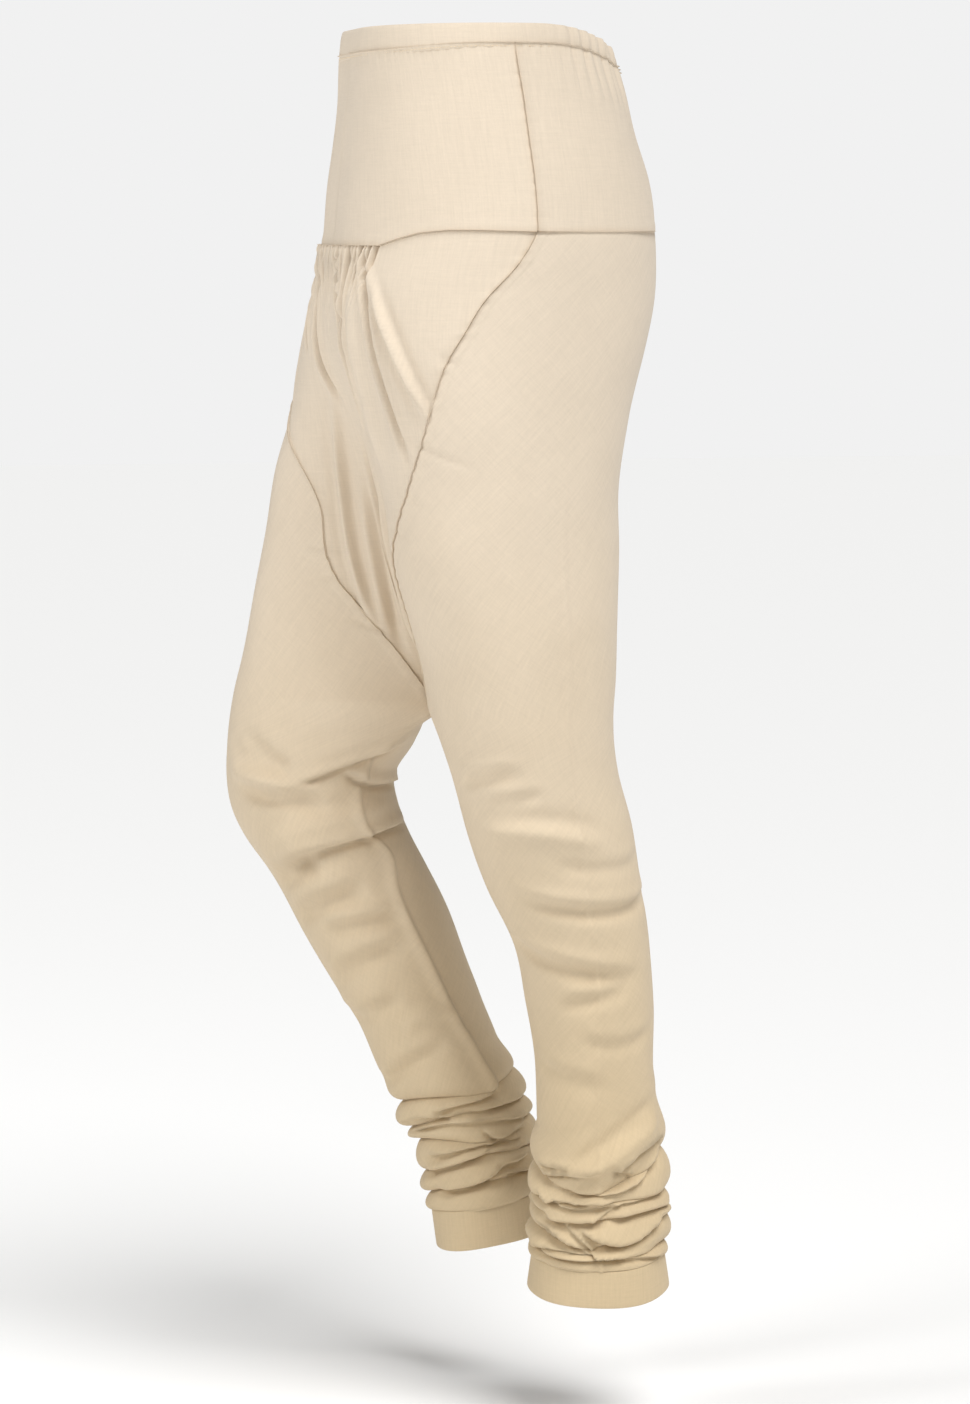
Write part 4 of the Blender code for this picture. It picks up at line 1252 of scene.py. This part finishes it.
class CHURIDAR_OT_casing(bpy.types.Operator):
    """Make the waist casing, with its elastic puckers"""

    bl_idname = "churidar.casing"
    bl_label = "Waist casing"

    def execute(self, context):
        share = np.linspace(0, 1, CASING_COLUMNS + 1)
        height, depth = edge_profile(EDGE_ROWS, 0.42)
        rings, uvs = [], []
        for side in (LEFT, RIGHT):
            skin = skin_of(side)
            top, bottom = casing_top(share), casing_bottom(share)
            station = (top + bottom) / 2 + (top - bottom) / 2 * height[:, None]
            around = np.broadcast_to(share, station.shape)
            plump = 0.0006 * (1 - height[:, None] ** 2)
            inset = (depth[:, None] - 1) / 2 * CASING_WALL + plump * depth[:, None]

            def relief(skin, station, share, inset=inset):
                stitched = 1 - 0.75 * np.exp(-(((station - casing_bottom(share) - 0.002) / 0.003) ** 2))
                return pucker_relief(skin, station, share) * stitched + inset, 0

            rings.append(skin.outside(station, around, relief))
            uvs.append(cloth_uv(skin, station, around))
        points = joined(rings, 0)[:, :-1]
        uv = joined(uvs, 0)[:, :-1]
        made = band("waist_casing", points, uv, 1, cotton_finish("casing cotton"))
        dress(made, "waistband", "cream_cotton", (0.82, 0.022), "gathered")
        return {"FINISHED"}


class CHURIDAR_OT_yoke(bpy.types.Operator):
    """Make the front and back yoke"""

    bl_idname = "churidar.yoke"
    bl_label = "Yoke"

    def execute(self, context):
        down = np.concatenate([[-0.03], np.linspace(0, 1, YOKE_ROWS)])
        finish = cotton_finish("yoke cotton")
        panels = (("yoke_front", "yoke_cloth_front", 0.0), ("yoke_back", "yoke_cloth_back", 0.5))
        for node, name, first in panels:
            grids, uvs = [], []
            for side in (LEFT, RIGHT):
                skin = skin_of(side)
                share = np.linspace(first, first + 0.5, YOKE_COLUMNS * (2 if first else 1) + 1)
                inset = NEAR / skin.length(YOKE_SEAM_Z)
                share[-1 if first == 0 else 0] -= inset if first == 0 else -inset
                station = between(casing_bottom(share), yoke_edge(share) + NEAR, down)
                around = np.broadcast_to(share, station.shape)
                grids.append(skin.outside(station, around, yoke_relief))
                uvs.append(cloth_uv(skin, station, around))
            meet = 0 if first == 0 else -1
            points, uv = joined(grids, meet), joined(uvs, meet)
            made = shell(name, points, uv, 1, finish)
            dress(made, node, "cream_cotton", (0.42, 0.17), "hung", area=0.062)
        return {"FINISHED"}


class CHURIDAR_OT_gusset(bpy.types.Operator):
    """Make the front gusset, gathered into the yoke"""

    bl_idname = "churidar.gusset"
    bl_label = "Front gusset"

    def execute(self, context):
        gathered = np.linspace(0, 2 * GATHER_SHARE + 0.03, GATHERED_COLUMNS + 1)
        across = np.concatenate([gathered, np.linspace(gathered[-1], 1, PLAIN_COLUMNS + 1)[1:]])
        rows = round((YOKE_SEAM_Z - CROTCH_Z) / BODY_STEP)
        down = np.linspace(0, 1, rows) ** 1.12
        top = yoke_edge(across / 2) - NEAR
        station = between(top, np.full(top.shape, CROTCH_Z + CROTCH_TIP), down)
        grids, uvs = [], []
        for side in (LEFT, RIGHT):
            skin = skin_of(side)
            seam = read(GUSSET_SEAM[side], "share", station[:, -1:])
            share = across * (seam - NEAR / skin.length(station))
            grids.append(skin.outside(station, share, gusset_relief))
            uvs.append(cloth_uv(skin, station, share + 0.5))
        finish = cotton_finish("gusset cotton")
        made = shell("front_gusset_cloth", joined(grids, 0), joined(uvs, 0), 1, finish)
        dress(made, "gusset_front", "cream_cotton", (0.62, 0.36), "gathered", area=0.11)
        return {"FINISHED"}


def leg_stations(side):
    """Heights of a leg's rows, from the crotch down to the cuff."""
    creases = CREASES[side]["z"][::-1]
    count = round((CROTCH_Z - creases[0]) / LOWER_STEP)
    stations = list(np.linspace(CROTCH_Z, creases[0], count + 1))
    for top, bottom in zip(creases[:-1], creases[1:]):
        steps = max(ROLL_ROWS, round((top - bottom) / ROLL_STEP))
        ease = (1 - np.cos(np.linspace(0, math.pi, steps + 1))) / 2
        stations += list(top + (bottom - top) * ease[1:])
    return np.array(stations)


class CHURIDAR_OT_legs(bpy.types.Operator):
    """Make both legs, with their creases and ankle rolls"""

    bl_idname = "churidar.legs"
    bl_label = "Legs"

    def execute(self, context):
        across = np.linspace(0, 1, LEG_COLUMNS + 1)
        rows = round((YOKE_SEAM_Z - CROTCH_Z) / BODY_STEP)
        down = np.linspace(0, 1, rows)
        for word, side in SIDES.items():
            skin = skin_of(side)
            finish = cotton_finish(word + " leg cotton", math.radians(45))
            top = yoke_edge(0.5 + 0.5 * across) - NEAR
            station = between(top, np.full(top.shape, CROTCH_Z + CROTCH_TIP), down)
            seam = read(GUSSET_SEAM[side], "share", station[:, :1])
            share = seam + NEAR / skin.length(station) + (1 - seam) * across
            station = np.concatenate([station, np.repeat(leg_stations(side)[:, None], len(across), axis=1)])
            share = np.minimum(share, 1)
            share = np.concatenate([share, np.broadcast_to(across, (len(station) - rows, len(across)))])
            points = skin.outside(station, share, leg_relief)
            points[..., 0] = side * np.maximum(side * points[..., 0], SEAM_GAP / 2)
            uv = cloth_uv(skin, station, share)
            made = shell(word + "_leg_cloth", points, uv, side, finish, joined_from=rows)
            dress(made, "leg_" + word, "cream_cotton", (0.52, 1.05), "draped", area=0.375)
        return {"FINISHED"}


class CHURIDAR_OT_cuffs(bpy.types.Operator):
    """Make the plain cuff of each leg"""

    bl_idname = "churidar.cuffs"
    bl_label = "Cuffs"

    def execute(self, context):
        share = np.linspace(0, 1, LEG_COLUMNS, endpoint=False)
        height, depth = edge_profile(EDGE_ROWS, 0.42)
        for word, side in SIDES.items():
            skin = skin_of(side)
            top, bottom = CUFFS[side]
            cuff_half = (top - bottom) / 2
            station = (top + bottom) / 2 + cuff_half * np.repeat(height[:, None], len(share), axis=1)
            around = np.broadcast_to(share, station.shape)
            inset = (depth[:, None] - 1) / 2 * CUFF_WALL

            def relief(skin, station, share, inset=inset):
                turn = skin.turn(station, share)
                slack = 0.0010 * np.sin(3 * turn + 1.0) + 0.0006 * np.sin(5 * turn + 40 * station)
                return inset + slack + hand(skin.side, station, turn), 0

            points = skin.outside(station, around, relief)
            uv = cloth_uv(skin, station, around)
            finish = cotton_finish(word + " cuff cotton")
            made = band(word + "_cuff_cloth", points, uv, side, finish)
            dress(made, "cuff_" + word, "cream_cotton_cuff", (0.30, 0.031), "draped")
        return {"FINISHED"}


STITCH_SIDES = 6
STITCH_RINGS = 5


def stitch_row(name, line, outward, finish, closed):
    """Stitches along a line of points, each a short thread sunk at both ends."""
    settings = bpy.context.scene.churidar_cloth
    if closed:
        line = np.vstack([line, line[:1]])
        outward = np.vstack([outward, outward[:1]])
    run = np.concatenate([[0], np.cumsum(np.linalg.norm(np.diff(line, axis=0), axis=1))])
    count = int(run[-1] / settings.stitch_length)
    starts = np.arange(count) * run[-1] / count
    along = starts[:, None] + np.linspace(0, 0.72 * settings.stitch_length, STITCH_RINGS)
    centre = np.stack([np.interp(along, run, line[:, k]) for k in range(3)], axis=-1)
    out = np.stack([np.interp(along, run, outward[:, k]) for k in range(3)], axis=-1)
    out /= np.linalg.norm(out, axis=-1, keepdims=True)
    ahead = np.gradient(centre, axis=1)
    ahead /= np.linalg.norm(ahead, axis=-1, keepdims=True)
    beside = np.cross(ahead, out)
    arch = np.sin(np.linspace(0, math.pi, STITCH_RINGS))[None, :, None]
    centre = centre + out * settings.thread * (1.9 * arch - 0.9)
    angle = np.linspace(0, 2 * math.pi, STITCH_SIDES, endpoint=False)
    radius = settings.thread * (0.45 + 0.55 * arch)[..., None]
    ring = np.cos(angle)[:, None] * out[:, :, None, :] + np.sin(angle)[:, None] * beside[:, :, None, :]
    points = centre[:, :, None, :] + ring * radius
    index = np.arange(points[..., 0].size).reshape(points.shape[:3])
    next_one = np.roll(index, -1, axis=2)
    corners = [index[:, :-1], next_one[:, :-1], next_one[:, 1:], index[:, 1:]]
    quads = np.stack(corners, axis=-1).reshape(-1, 4)
    flat = points.reshape(-1, 3)
    made = cloth_object(name, flat, flat[:, :2] * 0, quads, finish)
    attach(made, "root")
    return made


class CHURIDAR_OT_stitching(bpy.types.Operator):
    """Sew the stitching under the waist casing"""

    bl_idname = "churidar.stitching"
    bl_label = "Stitching"

    def execute(self, context):
        finish = plain("sewing thread", (0.80, 0.66, 0.47), 0.7)
        share = np.linspace(0, 1, 400)
        line, out = [], []
        for side in (RIGHT, LEFT):
            skin = skin_of(side)
            spot, away = self.seen(skin, casing_bottom(share) + 0.0016, share, pucker_relief, 0.3)
            line.append(spot if side == LEFT else spot[::-1])
            out.append(away if side == LEFT else away[::-1])
        stitch_row("casing_stitches", np.vstack(line), np.vstack(out), finish, True)
        return {"FINISHED"}

    def seen(self, skin, station, share, relief, part):
        """Points on the cloth along a line, and the way out of it."""
        def scaled(skin, station, share):
            return relief(skin, station, share) * part + 0.0003, 0

        spot = skin.outside(station, share, scaled)
        centre = np.array([0.0, 0.0, 1.0])
        away = spot * (1, 1, 0) + centre * 0
        return spot, away / np.linalg.norm(away, axis=1, keepdims=True)


# The stage: lengths in metres, angles in degrees, as the photograph was taken

CAMERA_AZIMUTH = 78.0
CAMERA_DISTANCE = 3.5
CAMERA_Z = -0.142
CAMERA_AIM_Z = -0.499
CAMERA_SHIFT = 0.0075
FRAME_HEIGHT_PX = 1404
LENS_PX = 4690.9
SENSOR_MM = 36.0
FLOOR_REACH = 14.0
LIGHT_AIM_Z = -0.45
# Area lights: name, azimuth, elevation, distance and width
AREA_LIGHTS = (("key", 14, 26, 2.4, 0.8), ("fill", 84, 10, 3.0, 1.6))
SUN_AZIMUTH = 110
SUN_ELEVATION = 56
SUN_SOFTNESS = 34


def camera():
    """The photograph's viewing angle."""
    azimuth = math.radians(CAMERA_AZIMUTH)
    ahead = Vector((-math.sin(azimuth), math.cos(azimuth), 0))
    right = Vector((math.cos(azimuth), math.sin(azimuth), 0))
    pitch = math.atan2(CAMERA_Z - CAMERA_AIM_Z, CAMERA_DISTANCE)
    forward = ahead * math.cos(pitch) + Vector((0, 0, -math.sin(pitch)))
    up = right.cross(forward)
    data = bpy.data.cameras.new("camera")
    data.sensor_width = SENSOR_MM
    data.lens = SENSOR_MM * LENS_PX / FRAME_HEIGHT_PX
    made = bpy.data.objects.new("camera", data)
    turn = Matrix((right, up, -forward)).transposed().to_4x4()
    place = -ahead * CAMERA_DISTANCE + right * CAMERA_SHIFT + Vector((0, 0, CAMERA_Z))
    made.matrix_world = Matrix.Translation(place) @ turn
    bpy.context.scene.collection.objects.link(made)
    bpy.context.scene.camera = made


def lamp(name, kind, azimuth, elevation, distance, power):
    """A light aimed at the trousers from a distance."""
    turn, tilt = math.radians(azimuth), math.radians(elevation)
    way = Vector((math.sin(turn) * math.cos(tilt), -math.cos(turn) * math.cos(tilt), math.sin(tilt)))
    data = bpy.data.lights.new(name, kind)
    data.energy = power
    made = bpy.data.objects.new(name, data)
    made.location = way * distance + Vector((0, 0, LIGHT_AIM_Z))
    made.rotation_euler = way.to_track_quat("Z", "Y").to_euler()
    bpy.context.scene.collection.objects.link(made)
    return data


class CHURIDAR_OT_stage(bpy.types.Operator):
    """Set the floor, the lights and the camera"""

    bl_idname = "churidar.stage"
    bl_label = "Stage"

    def execute(self, context):
        settings = context.scene.churidar_stage
        camera()
        mesh = bpy.data.meshes.new("floor")
        level = CAD_BOX[0][2] - settings.floor_drop
        ends = ((-1, -1), (1, -1), (1, 1), (-1, 1))
        corners = [(x * FLOOR_REACH, y * FLOOR_REACH, level) for x, y in ends]
        mesh.from_pydata(corners, [], [(0, 1, 2, 3)])
        mesh.materials.append(plain("pale floor", (0.97, 0.97, 0.965), 0.9))
        floor = bpy.data.objects.new("floor", mesh)
        context.scene.collection.objects.link(floor)

        for name, azimuth, elevation, distance, width in AREA_LIGHTS:
            light = lamp(name, "AREA", azimuth, elevation, distance, getattr(settings, name))
            light.size = width
        light = lamp("sun", "SUN", SUN_AZIMUTH, SUN_ELEVATION, 0, settings.sun)
        light.angle = math.radians(SUN_SOFTNESS)
        world = bpy.data.worlds.new("studio")
        world.use_nodes = True
        tree = world.node_tree
        background = tree.nodes["Background"]
        background.inputs["Color"].default_value = (1.0, 0.995, 0.985, 1)
        background.inputs["Strength"].default_value = settings.ambient
        backdrop = tree.nodes.new("ShaderNodeBackground")
        backdrop.inputs["Color"].default_value = (1, 1, 1, 1)
        backdrop.inputs["Strength"].default_value = settings.backdrop
        choose = tree.nodes.new("ShaderNodeMixShader")
        rays = tree.nodes.new("ShaderNodeLightPath")
        tree.links.new(rays.outputs["Is Camera Ray"], choose.inputs["Fac"])
        tree.links.new(background.outputs["Background"], choose.inputs[1])
        tree.links.new(backdrop.outputs["Background"], choose.inputs[2])
        tree.links.new(choose.outputs["Shader"], tree.nodes["World Output"].inputs["Surface"])
        context.scene.world = world
        context.scene.view_settings.view_transform = "Standard"
        return {"FINISHED"}


class CHURIDAR_PT_panel(bpy.types.Panel):
    """Lists the pieces of the trousers"""

    bl_idname = "CHURIDAR_PT_panel"
    bl_label = "Churidar"
    bl_space_type = "VIEW_3D"
    bl_region_type = "UI"
    bl_category = "Churidar"

    def draw(self, context):
        for group in (context.scene.churidar_cloth, context.scene.churidar_stage):
            for name in group.bl_rna.properties.keys():
                if name not in ("rna_type", "name"):
                    self.layout.prop(group, name)
        for operator in OPERATORS:
            self.layout.operator(operator.bl_idname)


OPERATORS = (
    CHURIDAR_OT_casing,
    CHURIDAR_OT_yoke,
    CHURIDAR_OT_gusset,
    CHURIDAR_OT_legs,
    CHURIDAR_OT_cuffs,
    CHURIDAR_OT_stitching,
    CHURIDAR_OT_stage,
)
CLASSES = (ChuridarCloth, ChuridarStage, *OPERATORS, CHURIDAR_PT_panel)


def register():
    for one in CLASSES:
        bpy.utils.register_class(one)
    bpy.types.Scene.churidar_cloth = bpy.props.PointerProperty(type=ChuridarCloth)
    bpy.types.Scene.churidar_stage = bpy.props.PointerProperty(type=ChuridarStage)


def unregister():
    del bpy.types.Scene.churidar_stage
    del bpy.types.Scene.churidar_cloth
    for one in reversed(CLASSES):
        bpy.utils.unregister_class(one)


def main():
    register()
    bpy.ops.churidar.casing()
    bpy.ops.churidar.yoke()
    bpy.ops.churidar.gusset()
    bpy.ops.churidar.legs()
    bpy.ops.churidar.cuffs()
    bpy.ops.churidar.stitching()
    bpy.ops.churidar.stage()


if __name__ == "__main__":
    main()
